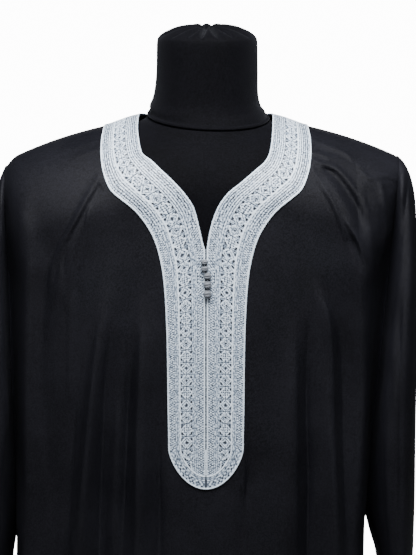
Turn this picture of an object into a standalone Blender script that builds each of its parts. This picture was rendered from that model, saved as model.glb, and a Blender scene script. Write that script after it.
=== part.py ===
"""A men's loose robe of the Moroccan kind on a limbless dress form.

Metres, +Z up. The front of the robe looks along -Y, and the origin lies on the floor, in the
middle of the base's underside. Each panel of cloth is a wall whose outer face is worked out from
sections: a face across the chest, a flank that turns into the hollow beside it, and a seam.
"""

import math

import bmesh
import bpy
import numpy as np

# Cloth and seams
CLOTH = 0.0013
SEAM_GAP = 0.0003
BAND_THICK = 0.0014
BAND_GAP = 0.0004
U_END_GAP = 0.0006
HEM = 0.070

# Shoulder line, seen from the front
NECK_POINT_HEIGHT = 1.5005
SHOULDER_FALL = 0.13
SHOULDER_CURVE = 2.0
TIP_START = 0.235
TIP_CURVE = 31.0
NECK_RISE = 0.005
RISE_END = 0.128
RISE_SPAN = 0.0444
ARCH_DROP = 0.10

# Depth at the edge of the front or back face, as a share of its middle, at the chest and the hem
EDGE_SHARE = 0.80
HEM_EDGE_SHARE = 0.60
FACE_POWER = 2.4
# Breadth of the turn beside the face, at the chest and the hem
TURN = 0.014
HEM_TURN = 0.030
SKIRT_TOP = 1.02
SKIRT_EASE = 0.60
# Part by which a fold is narrower on its steep side and broader on its gentle side
FOLD_LEAN = 0.35

# The slit and the round end of the band
SLIT_HALF = 0.0006
BAND_STEPS = 5
U_END_DROP = 0.0503
U_END_FALL = 1.38
U_END_STEPS = 12
NECK_HALF = 0.0828
BAND_HALF = 0.1272
BACK_NECK_DEPTH = 0.080
BACK_BAND_DEPTH = 0.108

# Column marks across the front and the back, from the middle to the seam
FACE_END = 14
FRONT_COLUMNS = 17
BACK_NECK_TURNS = (90.0, 72.0, 54.0, 38.0, 24.0, 12.0, 5.0, 0.0)
BACK_NECK_END = len(BACK_NECK_TURNS) - 1
BACK_FACE_END = 10
BACK_COLUMNS = 13
LOWER_ROWS = 9
SLEEVE_RINGS = 11

# Robe sections: height, half width right, half width left, front depth, back depth
BODY_LEVELS = np.array((
    (0.070, 0.262, 0.285, 0.176, 0.162),
    (0.400, 0.235, 0.262, 0.162, 0.150),
    (0.700, 0.212, 0.246, 0.148, 0.137),
    (0.950, 0.197, 0.238, 0.136, 0.125),
    (1.150, 0.2045, 0.2345, 0.131, 0.120),
    (1.280, 0.2035, 0.231, 0.130, 0.118),
    (1.360, 0.200, 0.226, 0.127, 0.116),
    (1.500, 0.195, 0.215, 0.125, 0.115),
))

# Front rows round the neck: neckline left, right, its drop below the shoulder line, band edge,
# its drop, turn round the armhole
NECK_ROWS = np.array((
    (0.0828, 0.0828, 0.0000, 0.1272, 0.0000, 0),
    (0.0831, 0.0823, 0.0010, 0.1274, 0.0012, 5),
    (0.0832, 0.0816, 0.0052, 0.1279, 0.0050, 12),
    (0.0828, 0.0808, 0.0120, 0.1285, 0.0100, 19),
    (0.0811, 0.0796, 0.0215, 0.1285, 0.0205, 26),
    (0.0768, 0.0764, 0.0367, 0.1266, 0.0367, 34),
    (0.0652, 0.0711, 0.0468, 0.1171, 0.0656, 42),
    (0.0535, 0.0589, 0.0585, 0.1028, 0.0837, 49),
    (0.0379, 0.0420, 0.0744, 0.0905, 0.0968, 56),
    (0.0251, 0.0254, 0.0897, 0.0787, 0.1113, 62),
    (0.0142, 0.0138, 0.1079, 0.0647, 0.1356, 68),
    (0.0082, 0.0060, 0.1300, 0.0585, 0.1535, 74),
    (0.0032, 0.0016, 0.1525, 0.0541, 0.1734, 79),
    (SLIT_HALF, SLIT_HALF, 0.1636, 0.0520, 0.1871, 84),
))

# Front rows beside and below the slit: height in the middle, band edge, its height, armhole turn
SLIT_ROWS = np.array((
    (1.3050, 0.0500, 1.2900, 90),
    (1.2700, 0.0485, 1.2600, 98),
    (1.2350, 0.0476, 1.2300, 106),
    (1.2000, 0.0472, 1.1980, 115),
    (1.1650, 0.0470, 1.1650, 125),
    (1.1300, 0.0465, 1.1300, 136),
    (1.0980, 0.0462, 1.0980, 148),
    (1.0700, 0.0462, 1.0700, 163),
    (1.0400, 0.0470, 1.0380, 180),
))
U_END_ROW = 20

# Back rows below the shoulders: share of the arch, then height in the middle and armhole turn
BACK_ARCH_SHARES = (0.0, 0.08, 0.20, 0.36, 0.55, 0.77, 1.0)
BACK_ROWS = np.array((
    (1.350, 68),
    (1.300, 80),
    (1.250, 92),
    (1.205, 105),
    (1.160, 120),
    (1.120, 138),
    (1.080, 158),
    (1.040, 180),
), dtype=float)

# Depth of the armhole seam by its turn from the top, as a share of its half depth: full over the
# shoulder, hollow below it
SEAM_TURNS = (0.0, 5.0, 12.0, 19.0, 26.0, 31.0, 36.0, 44.0, 60.0, 90.0)
SEAM_SHARES = (0.0, 0.30, 0.58, 0.82, 1.00, 1.08, 1.09, 1.03, 0.96, 1.0)
# Seam height where the flank becomes full, its ease, and the sleeve's extra fullness there
FULL_TOP = 1.36
FULL_TOP_EASE = 0.09
SLEEVE_TOP_FULLNESS = 0.55

# Sleeve sections: place along it, top x and z, underarm x and z, half depth
SLEEVES = {
    "right": np.array((
        (0.0, 0.2400, 1.4409, 0.2030, 0.9870, 0.045),
        (1.0, 0.2490, 1.4305, 0.2045, 0.9840, 0.072),
        (2.0, 0.2570, 1.4090, 0.2060, 0.9800, 0.083),
        (3.0, 0.2615, 1.3780, 0.2078, 0.9755, 0.089),
        (5.0, 0.2650, 1.2700, 0.2110, 0.9630, 0.094),
        (7.0, 0.2665, 1.1300, 0.2160, 0.9460, 0.093),
        (9.0, 0.2660, 0.9950, 0.2225, 0.9200, 0.087),
        (11.0, 0.2640, 0.8600, 0.2310, 0.8570, 0.077),
    )),
    "left": np.array((
        (0.0, 0.2505, 1.4290, 0.2415, 0.9660, 0.045),
        (1.0, 0.2562, 1.4154, 0.2425, 0.9635, 0.071),
        (2.0, 0.2620, 1.3925, 0.2437, 0.9600, 0.082),
        (3.0, 0.2675, 1.3600, 0.2450, 0.9560, 0.088),
        (5.0, 0.2770, 1.2600, 0.2475, 0.9450, 0.093),
        (7.0, 0.2830, 1.1200, 0.2505, 0.9290, 0.092),
        (9.0, 0.2850, 0.9850, 0.2535, 0.9050, 0.086),
        (11.0, 0.2840, 0.8520, 0.2555, 0.8490, 0.076),
    )),
}

# Folds: top, bottom, x at top, a quarter down and bottom, widths, heights a quarter down and bottom
FRONT_FOLDS = (
    (1.440, 1.120, -0.122, -0.160, -0.196, 0.012, 0.020, 0.0050, 0.000),
    (1.340, 0.070, -0.120, -0.156, -0.190, 0.013, 0.026, 0.0085, 0.018),
    (1.280, 0.070, -0.112, -0.128, -0.153, 0.011, 0.020, -0.0060, -0.010),
    (1.250, 0.070, -0.078, -0.086, -0.120, 0.012, 0.024, 0.0070, 0.016),
    (1.130, 0.070, -0.056, -0.058, -0.082, 0.012, 0.018, -0.0050, -0.010),
    (1.060, 0.070, -0.026, -0.032, -0.045, 0.013, 0.024, 0.0050, 0.015),
    (1.000, 0.070, -0.006, -0.008, -0.012, 0.012, 0.020, -0.0020, -0.009),
    (1.020, 0.070, 0.012, 0.012, 0.010, 0.014, 0.023, 0.0040, 0.016),
    (1.080, 0.070, 0.050, 0.042, 0.040, 0.012, 0.018, -0.0060, -0.010),
    (1.230, 0.070, 0.102, 0.096, 0.096, 0.014, 0.024, 0.0070, 0.017),
    (1.260, 0.070, 0.120, 0.127, 0.137, 0.010, 0.018, -0.0075, -0.011),
    (1.330, 0.070, 0.126, 0.160, 0.176, 0.011, 0.024, 0.0075, 0.015),
    (1.450, 1.180, 0.132, 0.172, 0.200, 0.012, 0.016, 0.0060, 0.000),
    (1.000, 0.070, -0.212, -0.222, -0.246, 0.016, 0.022, 0.0040, 0.013),
    (1.000, 0.070, 0.190, 0.200, 0.228, 0.013, 0.020, 0.0030, 0.011),
)
BACK_FOLDS = (
    (1.390, 0.070, -0.150, -0.172, -0.215, 0.018, 0.028, 0.0060, 0.017),
    (1.340, 0.070, -0.122, -0.142, -0.178, 0.014, 0.022, -0.0040, -0.011),
    (1.360, 0.070, -0.092, -0.108, -0.140, 0.016, 0.026, 0.0050, 0.018),
    (1.200, 0.070, -0.060, -0.070, -0.096, 0.014, 0.022, -0.0035, -0.012),
    (1.260, 0.070, -0.030, -0.042, -0.056, 0.015, 0.026, 0.0045, 0.016),
    (1.220, 0.070, 0.004, -0.004, -0.012, 0.014, 0.022, -0.0035, -0.011),
    (1.300, 0.070, 0.034, 0.034, 0.030, 0.015, 0.025, 0.0045, 0.017),
    (1.240, 0.070, 0.070, 0.072, 0.074, 0.014, 0.022, -0.0035, -0.011),
    (1.370, 0.070, 0.098, 0.108, 0.116, 0.016, 0.026, 0.0055, 0.017),
    (1.330, 0.070, 0.130, 0.144, 0.158, 0.014, 0.020, -0.0040, -0.010),
    (1.380, 0.070, 0.154, 0.174, 0.200, 0.016, 0.024, 0.0050, 0.014),
)

# Knotted buttons: x, z, half width, half height
BUTTONS = (
    (-0.0018, 1.3304, 0.0046, 0.0034),
    (-0.0016, 1.3226, 0.0047, 0.0037),
    (0.0019, 1.3134, 0.0048, 0.0044),
    (0.0019, 1.3027, 0.0049, 0.0051),
    (0.0019, 1.2913, 0.0049, 0.0052),
)
BUTTON_HALF_DEPTH = 0.0042
BUTTON_SEAT = 0.0026

# Dress form: torso sections (height, half width, front depth, back depth), neck, pole and base
FORM_SINK = 0.0017
FORM_INSET = 0.0095
FORM_SHOULDER = 0.190
FORM_END_START = 0.130
FORM_END_INSET = 0.034
FORM_LEVELS = np.array((
    (0.800, 0.146, 0.088, 0.096),
    (0.806, 0.154, 0.095, 0.103),
    (0.860, 0.160, 0.100, 0.108),
    (0.950, 0.156, 0.102, 0.106),
    (1.060, 0.143, 0.101, 0.096),
    (1.150, 0.150, 0.108, 0.098),
    (1.250, 0.164, 0.117, 0.103),
    (1.330, 0.174, 0.119, 0.104),
))
FORM_COLUMNS = 32
NECK_FOOT_HALF = 0.0740
NECK_FOOT_DEPTH = 0.0725
NECK_FOOT_HEIGHT = 1.4907
NECK_FOOT_TILT = 0.12
NECK_SIDE_TILT = -0.040
NECK_FOOT_SHIFT = 0.0030
NECK_TOP_SHIFT = 0.0015
# Heights above the foot line: top of the rolled hem, ease of its shift, start and ease of the
# neck's lean, and the height where the tilt ends
HEM_ROLL_TOP = 0.0046
FOOT_SHIFT_EASE = 0.012
LEAN_START = 0.015
LEAN_EASE = 0.050
TILT_END = 0.090
NECK_COLUMNS = 40
# Neck cover: height above the foot line, half width, half depth
NECK_COVER = np.array((
    (0.0003, 0.0724, 0.0705),
    (0.0006, 0.0752, 0.0733),
    (0.0020, 0.0765, 0.0745),
    (0.0036, 0.0758, 0.0738),
    (0.0046, 0.0738, 0.0716),
    (0.0105, 0.0722, 0.0676),
    (0.0180, 0.0682, 0.0642),
    (0.0260, 0.0658, 0.0622),
    (0.0400, 0.0640, 0.0608),
    (0.0640, 0.0631, 0.0600),
    (0.0900, 0.0627, 0.0597),
))
# Gathered cap: height, radius share, pleat height
NECK_CAP = np.array((
    (1.5880, 0.985, 0.0003),
    (1.5925, 0.930, 0.0007),
    (1.5970, 0.780, 0.0012),
    (1.6005, 0.560, 0.0014),
    (1.6025, 0.340, 0.0014),
    (1.6015, 0.160, 0.0006),
    (1.6040, 0.110, 0.0),
    (1.6055, 0.060, 0.0),
))
POLE_RADIUS = 0.0125
BASE_RADIUS = 0.165
BASE_THICK = 0.012
HUB_RADIUS = 0.024
HUB_HEIGHT = 0.045
ROUND_STEPS = 32


def smooth_step(share):
    """Eases from 0 to 1."""
    share = np.clip(share, 0.0, 1.0)
    return share * share * (3.0 - 2.0 * share)


def smooth_curve(knots, values):
    """The natural cubic curve through values at knots, as a function of an array."""
    knots = np.asarray(knots, dtype=float)
    values = np.asarray(values, dtype=float)
    gaps = np.diff(knots)
    count = len(knots)
    system = np.eye(count)
    pull = np.zeros(count)
    for k in range(1, count - 1):
        system[k, k - 1:k + 2] = (gaps[k - 1], 2.0 * (gaps[k - 1] + gaps[k]), gaps[k])
        pull[k] = 6.0 * ((values[k + 1] - values[k]) / gaps[k] - (values[k] - values[k - 1]) / gaps[k - 1])
    bends = np.linalg.solve(system, pull)

    def curve(at):
        at = np.clip(at, knots[0], knots[-1])
        k = np.clip(np.searchsorted(knots, at, side="right") - 1, 0, count - 2)
        gap = gaps[k]
        past = at - knots[k]
        left = knots[k + 1] - at
        bend = (bends[k] * left**3 + bends[k + 1] * past**3) / (6.0 * gap)
        line = (values[k] / gap - bends[k] * gap / 6.0) * left
        return bend + line + (values[k + 1] / gap - bends[k + 1] * gap / 6.0) * past

    return curve


BODY_HALF = {
    "right": smooth_curve(BODY_LEVELS[:, 0], BODY_LEVELS[:, 1]),
    "left": smooth_curve(BODY_LEVELS[:, 0], BODY_LEVELS[:, 2]),
}
BODY_DEPTH = {
    "front": smooth_curve(BODY_LEVELS[:, 0], BODY_LEVELS[:, 3]),
    "back": smooth_curve(BODY_LEVELS[:, 0], BODY_LEVELS[:, 4]),
}
SIDE_SIGN = {"right": 1.0, "left": -1.0}
FACE_SIGN = {"front": -1.0, "back": 1.0}


def shoulder_line(x):
    """Height of the shoulders at x, without the cloth's rise at the neck."""
    x = np.abs(x)
    tip = np.maximum(0.0, x - TIP_START)
    return NECK_POINT_HEIGHT - SHOULDER_FALL * x - SHOULDER_CURVE * x**3 - TIP_CURVE * tip**2


def ridge(x):
    """Height of the robe's shoulder line at x, which rises a little at the neck."""
    return shoulder_line(x) + NECK_RISE * smooth_step((RISE_END - np.abs(x)) / RISE_SPAN)


def arch(x, z):
    """Share of the full depth that the cloth has reached at height z, on its way down."""
    left = 1.0 - np.clip((ridge(x) - z) / ARCH_DROP, 0.0, 1.0)
    return np.sqrt(1.0 - left * left)


def face_half(side, z):
    """Half breadth of the front or back face at height z, up to the turn beside it."""
    skirt = smooth_step((SKIRT_TOP - z) / SKIRT_EASE)
    return BODY_HALF[side](z) - TURN - (HEM_TURN - TURN) * skirt


def face_depth(side, face, x, z):
    """Depth of the full face at half breadth x and height z, without the arch."""
    skirt = smooth_step((SKIRT_TOP - z) / SKIRT_EASE)
    edge = EDGE_SHARE + (HEM_EDGE_SHARE - EDGE_SHARE) * skirt
    share = np.abs(x) / face_half(side, z)
    return BODY_DEPTH[face](z) * (1.0 - (1.0 - edge) * share**FACE_POWER)


def fold_height(folds, x, z):
    """Sum of the folds' heights at signed x and height z. A ridge is narrower on its outer side and a
    hollow on its inner side."""
    total = np.zeros(np.broadcast(x, z).shape)
    for top, bottom, x_top, x_quarter, x_bottom, w_top, w_bottom, h_quarter, h_bottom in folds:
        share = (top - z) / (top - bottom)
        inside = (share >= 0.0) & (share <= 1.0)
        share = np.clip(share, 0.0, 1.0)
        path = smooth_curve((0.0, 0.25, 1.0), (x_top, x_quarter, x_bottom))(share)
        width = w_top + (w_bottom - w_top) * share
        height = smooth_curve((0.0, 0.25, 1.0), (0.0, h_quarter, h_bottom))(share)
        outer = (x - path) * math.copysign(1.0, x_quarter * h_quarter) > 0.0
        width = width * np.where(outer, 1.0 - FOLD_LEAN, 1.0 + FOLD_LEAN)
        total = total + inside * height * np.exp(-(((x - path) / width) ** 2))
    return total


def seam_share(turn):
    """Share of the seam's half depth at a turn in degrees: the table over the shoulder, then a sine."""
    turn = np.abs(np.asarray(turn, dtype=float))
    turn = np.where(turn > 180.0, 360.0 - turn, turn)
    return np.where(turn < 90.0, smooth_curve(SEAM_TURNS, SEAM_SHARES)(turn), np.sin(np.radians(turn)))


def armhole(side, turn):
    """Point of the armhole seam in half space (x, depth, z) at a turn in degrees from its top."""
    section = SLEEVES[side][0]
    angle = np.radians(turn)
    middle_x = (section[1] + section[3]) / 2.0
    middle_z = (section[2] + section[4]) / 2.0
    x = middle_x + (section[1] - section[3]) / 2.0 * np.cos(angle)
    z = middle_z + (section[2] - section[4]) / 2.0 * np.cos(angle)
    return x, section[5] * seam_share(turn), z


def seam_point(side, turn, lower):
    """Outer seam of a row: the armhole down to the underarm, then the side seam to the hem."""
    x, depth, z = armhole(side, turn)
    section = SLEEVES[side][0]
    z = z + (HEM - section[4]) * lower
    below = BODY_HALF[side](z) + (section[3] - BODY_HALF[side](section[4]))
    return np.where(lower > 0.0, below, x), np.where(lower > 0.0, 0.0, depth), z


def flank(side, face, share, start_x, start_z, seam):
    """Bezier curve from the edge of a face to the seam: x, depth and height."""
    seam_x, seam_depth, seam_z = seam
    half = BODY_HALF[side](start_z)
    start_depth = face_depth(side, face, start_x, start_z) * arch(start_x, start_z)
    underarm = SLEEVES[side][0][4]
    valley = smooth_step((seam_z - underarm) / 0.12)
    full_top = smooth_step((seam_z - FULL_TOP + FULL_TOP_EASE) / FULL_TOP_EASE)
    reach = np.minimum(0.010, (seam_x - start_x) * 0.4)
    reach = reach + (0.003 - reach) * full_top
    first_x = np.minimum(half + 0.002, seam_x)
    first_x = first_x + (seam_x - 0.004 - first_x) * full_top
    first_depth = start_depth * 0.93
    second_x = seam_x - reach * valley
    second_depth = seam_depth + (start_depth - seam_depth) * 0.5 * (1.0 - valley)
    a = (1.0 - share) ** 3
    b = 3.0 * share * (1.0 - share) ** 2
    c = 3.0 * share**2 * (1.0 - share)
    d = share**3
    x = a * start_x + b * first_x + c * second_x + d * seam_x
    depth = a * start_depth + b * first_depth + c * second_depth + d * seam_depth
    start_drop = ridge(start_x) - start_z
    seam_drop = ridge(seam_x) - seam_z
    along = (x - start_x) / np.maximum(seam_x - start_x, 1e-6)
    z_arch = ridge(x) - (start_drop + (seam_drop - start_drop) * along)
    z_plain = start_z + (seam_z - start_z) * share
    blend = smooth_step((seam_z - 1.25) / 0.12)
    return x, depth, z_plain + (z_arch - z_plain) * blend


def front_table(side):
    """Rows of the front on one side: inner x, drop and z, band x, drop and z, armhole turn."""
    own = 1 if side == "right" else 0
    neck_x = NECK_ROWS[:, own]
    neck = np.stack((neck_x, NECK_ROWS[:, 2], ridge(neck_x) - NECK_ROWS[:, 2],
                     NECK_ROWS[:, 3], NECK_ROWS[:, 4], ridge(NECK_ROWS[:, 3]) - NECK_ROWS[:, 4],
                     NECK_ROWS[:, 5]), axis=1)
    slit_x = np.full(len(SLIT_ROWS), SLIT_HALF)
    slit_x[U_END_ROW + 1 - len(NECK_ROWS):] = 0.0
    slit = np.stack((slit_x, ridge(slit_x) - SLIT_ROWS[:, 0], SLIT_ROWS[:, 0],
                     SLIT_ROWS[:, 1], ridge(SLIT_ROWS[:, 1]) - SLIT_ROWS[:, 2], SLIT_ROWS[:, 2],
                     SLIT_ROWS[:, 3]), axis=1)
    return np.concatenate((neck, slit))


def front_surface(side, rows, columns):
    """Outer face of one half of the front, at row and column marks (arrays)."""
    table = front_table(side)
    marks = np.arange(len(table))
    upper = np.clip(rows, 0, marks[-1])
    lower = np.clip((rows - marks[-1]) / LOWER_ROWS, 0.0, 1.0)
    inner_x, inner_drop, inner_z, band_x, band_drop, band_z, turn = [
        np.interp(upper, marks, table[:, k]) for k in range(table.shape[1])]
    inner_z = inner_z + (HEM - table[-1, 2]) * lower
    band_z = band_z + (HEM - table[-1, 5]) * lower
    seam = seam_point(side, turn, lower)
    row_half = face_half(side, (band_z + seam[2]) / 2.0)
    band_x = band_x + (row_half * BAND_STEPS / FACE_END - band_x) * smooth_step(lower / 0.35)
    in_neck = np.clip(len(NECK_ROWS) - rows, 0.0, 1.0)
    shape = (len(rows), len(columns))
    x = np.zeros(shape)
    z = np.zeros(shape)
    depth = np.zeros(shape)
    for k, column in enumerate(columns):
        if column <= BAND_STEPS:
            share = column / BAND_STEPS
            x[:, k] = inner_x + (band_x - inner_x) * share
            z_plain = inner_z + (band_z - inner_z) * share
            z_arch = ridge(x[:, k]) - (inner_drop + (band_drop - inner_drop) * share)
            blend = in_neck
        else:
            share = min((column - BAND_STEPS) / (FACE_END - BAND_STEPS), 1.0)
            x[:, k] = band_x + (row_half - band_x) * share
            along = (x[:, k] - band_x) / (seam[0] - band_x)
            edge_drop = ridge(band_x) - band_z
            seam_drop = ridge(seam[0]) - seam[2]
            z_arch = ridge(x[:, k]) - (edge_drop + (seam_drop - edge_drop) * along)
            z_plain = band_z + (seam[2] - band_z) * along
            blend = smooth_step((seam[2] - 1.25) / 0.12)
        z[:, k] = z_plain + (z_arch - z_plain) * blend
        mask = smooth_step((x[:, k] - band_x) / 0.028)
        mask = 1.0 - (1.0 - mask) * smooth_step((z[:, k] - 0.965) / 0.075)
        reached = arch(x[:, k], z[:, k])
        depth[:, k] = face_depth(side, "front", x[:, k], z[:, k]) * reached
        fold = fold_height(FRONT_FOLDS, SIDE_SIGN[side] * x[:, k], z[:, k])
        fade = reached * mask
        if column > FACE_END:
            share = (column - FACE_END) / (FRONT_COLUMNS - FACE_END)
            x[:, k], depth[:, k], z[:, k] = flank(side, "front", share, x[:, k], z[:, k], seam)
            fade = fade * (1.0 - share) ** 2
        depth[:, k] += fold * fade
    return np.stack((SIDE_SIGN[side] * x, -depth, z), axis=-1)


def back_band_surface(side, shares, turns):
    """Back neck inside the band: from the neckline outwards, at turns from the shoulder line."""
    share = np.asarray(shares)[:, None]
    turn = np.radians(np.asarray(turns))[None, :]
    x = (NECK_HALF + (BAND_HALF - NECK_HALF) * share) * np.cos(turn)
    full = BODY_DEPTH["back"](NECK_POINT_HEIGHT)
    inner = np.arcsin(BACK_NECK_DEPTH * np.sin(turn) / full)
    outer = np.arcsin(BACK_BAND_DEPTH * np.sin(turn) / full)
    lean = inner + (outer - inner) * share
    z = ridge(x) - ARCH_DROP * (1.0 - np.cos(lean))
    depth = face_depth(side, "back", x, z) * np.sin(lean)
    return np.stack((SIDE_SIGN[side] * x, depth, z), axis=-1)


def back_surface(side, rows, columns):
    """Outer face of one half of the back below the band, at row and column marks."""
    arch_rows = len(BACK_ARCH_SHARES) - 1
    upper_rows = arch_rows + len(BACK_ROWS)
    full = BODY_DEPTH["back"](NECK_POINT_HEIGHT)
    shape = (len(rows), len(columns))
    x = np.zeros(shape)
    z = np.zeros(shape)
    depth = np.zeros(shape)
    arch_share = np.interp(rows, np.arange(arch_rows + 1), BACK_ARCH_SHARES)
    arch_turn = back_arch_turns(side, arch_share)
    marks = np.arange(arch_rows, upper_rows + 1)
    low_turn = np.interp(rows, marks, np.append(back_arch_turns(side, 1.0), BACK_ROWS[:, 1]))
    middle_z = np.interp(rows, marks, np.append(ridge(0.0) - ARCH_DROP, BACK_ROWS[:, 0]))
    lower = np.clip((rows - upper_rows) / LOWER_ROWS, 0.0, 1.0)
    middle_z = middle_z + (HEM - BACK_ROWS[-1, 0]) * lower
    turn = np.where(rows <= arch_rows, arch_turn, low_turn)
    seam = seam_point(side, turn, lower)
    row_half = face_half(side, (middle_z + seam[2]) / 2.0)
    for k, column in enumerate(columns):
        neck_turn = math.radians(np.interp(column, np.arange(BACK_NECK_END + 1), BACK_NECK_TURNS))
        neck_lean = math.asin(BACK_BAND_DEPTH * math.sin(neck_turn) / full)
        lean = neck_lean + (math.pi / 2.0 - neck_lean) * arch_share
        neck_x = BAND_HALF * math.cos(neck_turn)
        share = np.clip((column - BACK_NECK_END) / (BACK_FACE_END - BACK_NECK_END), 0.0, 1.0)
        start = neck_x + (row_half - BAND_HALF) * share
        even = row_half * min(column / BACK_FACE_END, 1.0)
        spread = smooth_step((rows - 1.0) / upper_rows)
        x[:, k] = start + (even - start) * spread
        z_arch = ridge(x[:, k]) - ARCH_DROP * (1.0 - np.cos(lean))
        along = x[:, k] / seam[0]
        z_low = middle_z + (seam[2] - middle_z) * along
        low_share = smooth_step((rows - arch_rows) / 3.0)
        base_low = ridge(x[:, k]) - (ridge(0.0) - middle_z)
        z_low = base_low + (z_low - base_low) * low_share
        z[:, k] = np.where(rows <= arch_rows, z_arch, z_low)
        depth[:, k] = face_depth(side, "back", x[:, k], z[:, k]) * np.where(
            rows <= arch_rows, np.sin(lean), 1.0)
        fold = fold_height(BACK_FOLDS, SIDE_SIGN[side] * x[:, k], z[:, k])
        fade = smooth_step((rows - 1.5) / 5.0)
        if column > BACK_FACE_END:
            share = (column - BACK_FACE_END) / (BACK_COLUMNS - BACK_FACE_END)
            x[:, k], depth[:, k], z[:, k] = flank(side, "back", share, x[:, k], z[:, k], seam)
            fade = fade * (1.0 - share) ** 2
        depth[:, k] += fold * fade
    return np.stack((SIDE_SIGN[side] * x, depth, z), axis=-1)


def sleeve_surface(side, rings, turns):
    """Outer face of a sleeve: rings that fan out from the underarm, closed round in turns."""
    table = SLEEVES[side]
    at = [smooth_curve(table[:, 0], table[:, column])(np.asarray(rings, dtype=float))[:, None]
          for column in range(1, 6)]
    top_x, top_z, under_x, under_z, half_depth = at
    turn = np.radians(np.asarray(turns))[None, :]
    along = np.cos(turn)
    x = (top_x + under_x) / 2.0 + (top_x - under_x) / 2.0 * along
    z = (top_z + under_z) / 2.0 + (top_z - under_z) / 2.0 * along
    rings = np.asarray(rings, dtype=float)[:, None]
    fullness = 1.0 - 0.15 * smooth_step(rings / 3.0)
    top_share = smooth_step(along / 0.9) * (1.0 - smooth_step(rings / 4.0))
    oval = np.abs(np.sin(turn)) ** (fullness - SLEEVE_TOP_FULLNESS * top_share)
    seam = seam_share(np.asarray(turns))[None, :]
    oval = seam + (oval - seam) * smooth_step(rings / 1.2)
    y = -half_depth * np.sign(np.sin(turn)) * oval
    return np.stack((SIDE_SIGN[side] * x, y, z), axis=-1)


def cell_faces(numbers, turned_round=False):
    """Two triangles for each cell of a grid of point numbers."""
    faces = []
    for row in range(numbers.shape[0] - 1):
        for column in range(numbers.shape[1] - 1):
            near = (int(numbers[row, column]), int(numbers[row, column + 1]))
            far = (int(numbers[row + 1, column]), int(numbers[row + 1, column + 1]))
            for face in ((near[0], near[1], far[1]), (near[0], far[1], far[0])):
                if len(set(face)) == 3:
                    faces.append(face[::-1] if turned_round else face)
    return faces


def round_numbers(rows, columns):
    """Point numbers of a grid that is closed round in its rows."""
    numbers = np.arange(rows * columns).reshape(rows, columns)
    return np.concatenate((numbers, numbers[:, :1]), axis=1)


def point_normals(points, faces):
    """Unit normals at the points, from the faces round them."""
    total = np.zeros_like(points)
    corners = points[np.array(faces)]
    across = np.cross(corners[:, 1] - corners[:, 0], corners[:, 2] - corners[:, 0])
    for corner in range(3):
        np.add.at(total, np.array(faces)[:, corner], across)
    length = np.linalg.norm(total, axis=1)
    return total / np.maximum(length, 1e-12)[:, None]


def unit(vectors):
    """Vectors at length one."""
    return vectors / np.linalg.norm(vectors, axis=-1, keepdims=True)


def finish(name, points, faces, material):
    """One named closed object from points and faces, with its faces turned outwards."""
    mesh = bpy.data.meshes.new(name)
    used = sorted({corner for face in faces for corner in face})
    number = {corner: k for k, corner in enumerate(used)}
    mesh.from_pydata([tuple(points[corner]) for corner in used], [],
                     [tuple(number[corner] for corner in face) for face in faces])
    work = bmesh.new()
    work.from_mesh(mesh)
    bmesh.ops.recalc_face_normals(work, faces=work.faces)
    work.to_mesh(mesh)
    work.free()
    mesh.shade_smooth()
    mesh.set_sharp_from_angle(angle=math.radians(50.0))
    mesh.materials.append(material)
    thing = bpy.data.objects.new(name, mesh)
    bpy.context.scene.collection.objects.link(thing)
    return thing


def wall(name, outer, inner, faces, material):
    """Closed wall between two faces of cloth with the same points, with a rim at each free edge."""
    count = len(outer)
    sides = {}
    for face in faces:
        for start, end in zip(face, face[1:] + face[:1]):
            key = (min(start, end), max(start, end))
            sides.setdefault(key, []).append((start, end))
    body = list(faces) + [tuple(corner + count for corner in reversed(face)) for face in faces]
    for uses in sides.values():
        if len(uses) == 1:
            start, end = uses[0]
            body.append((end, start, start + count, end + count))
    return finish(name, np.concatenate((outer, inner)), body, material)


def loft(name, rings, material):
    """Closed body through rings of equal count, flat at its first and last ring."""
    count = rings.shape[1]
    faces = cell_faces(round_numbers(rings.shape[0], count))
    faces.append(tuple(range(count)))
    last = (rings.shape[0] - 1) * count
    faces.append(tuple(last + k for k in range(count)))
    return finish(name, rings.reshape(-1, 3), faces, material)


def make_material(name, colour, roughness, metallic=0.0):
    """Principled material of one plain colour."""
    material = bpy.data.materials.new(name)
    material.use_nodes = True
    shader = material.node_tree.nodes["Principled BSDF"]
    shader.inputs["Base Color"].default_value = (*colour, 1.0)
    shader.inputs["Roughness"].default_value = roughness
    shader.inputs["Metallic"].default_value = metallic
    return material


def front_mesh():
    """Points and faces of the whole front, with the numbers of each half's grid."""
    rows = len(NECK_ROWS) + len(SLIT_ROWS) + LOWER_ROWS
    row_marks = np.arange(rows, dtype=float)
    column_marks = np.arange(FRONT_COLUMNS + 1, dtype=float)
    halves = [front_surface(side, row_marks, column_marks) for side in ("right", "left")]
    size = halves[0][..., 0].size
    right = np.arange(size).reshape(rows, -1)
    left = right + size
    slit_foot = (int(left[U_END_ROW, 0]), int(right[U_END_ROW, 0]), int(right[U_END_ROW + 1, 0]))
    left[U_END_ROW + 1:, 0] = right[U_END_ROW + 1:, 0]
    points = np.concatenate([half.reshape(-1, 3) for half in halves])
    faces = cell_faces(right, turned_round=True) + cell_faces(left) + [slit_foot[::-1]]
    return points, faces, {"right": right, "left": left}


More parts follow.
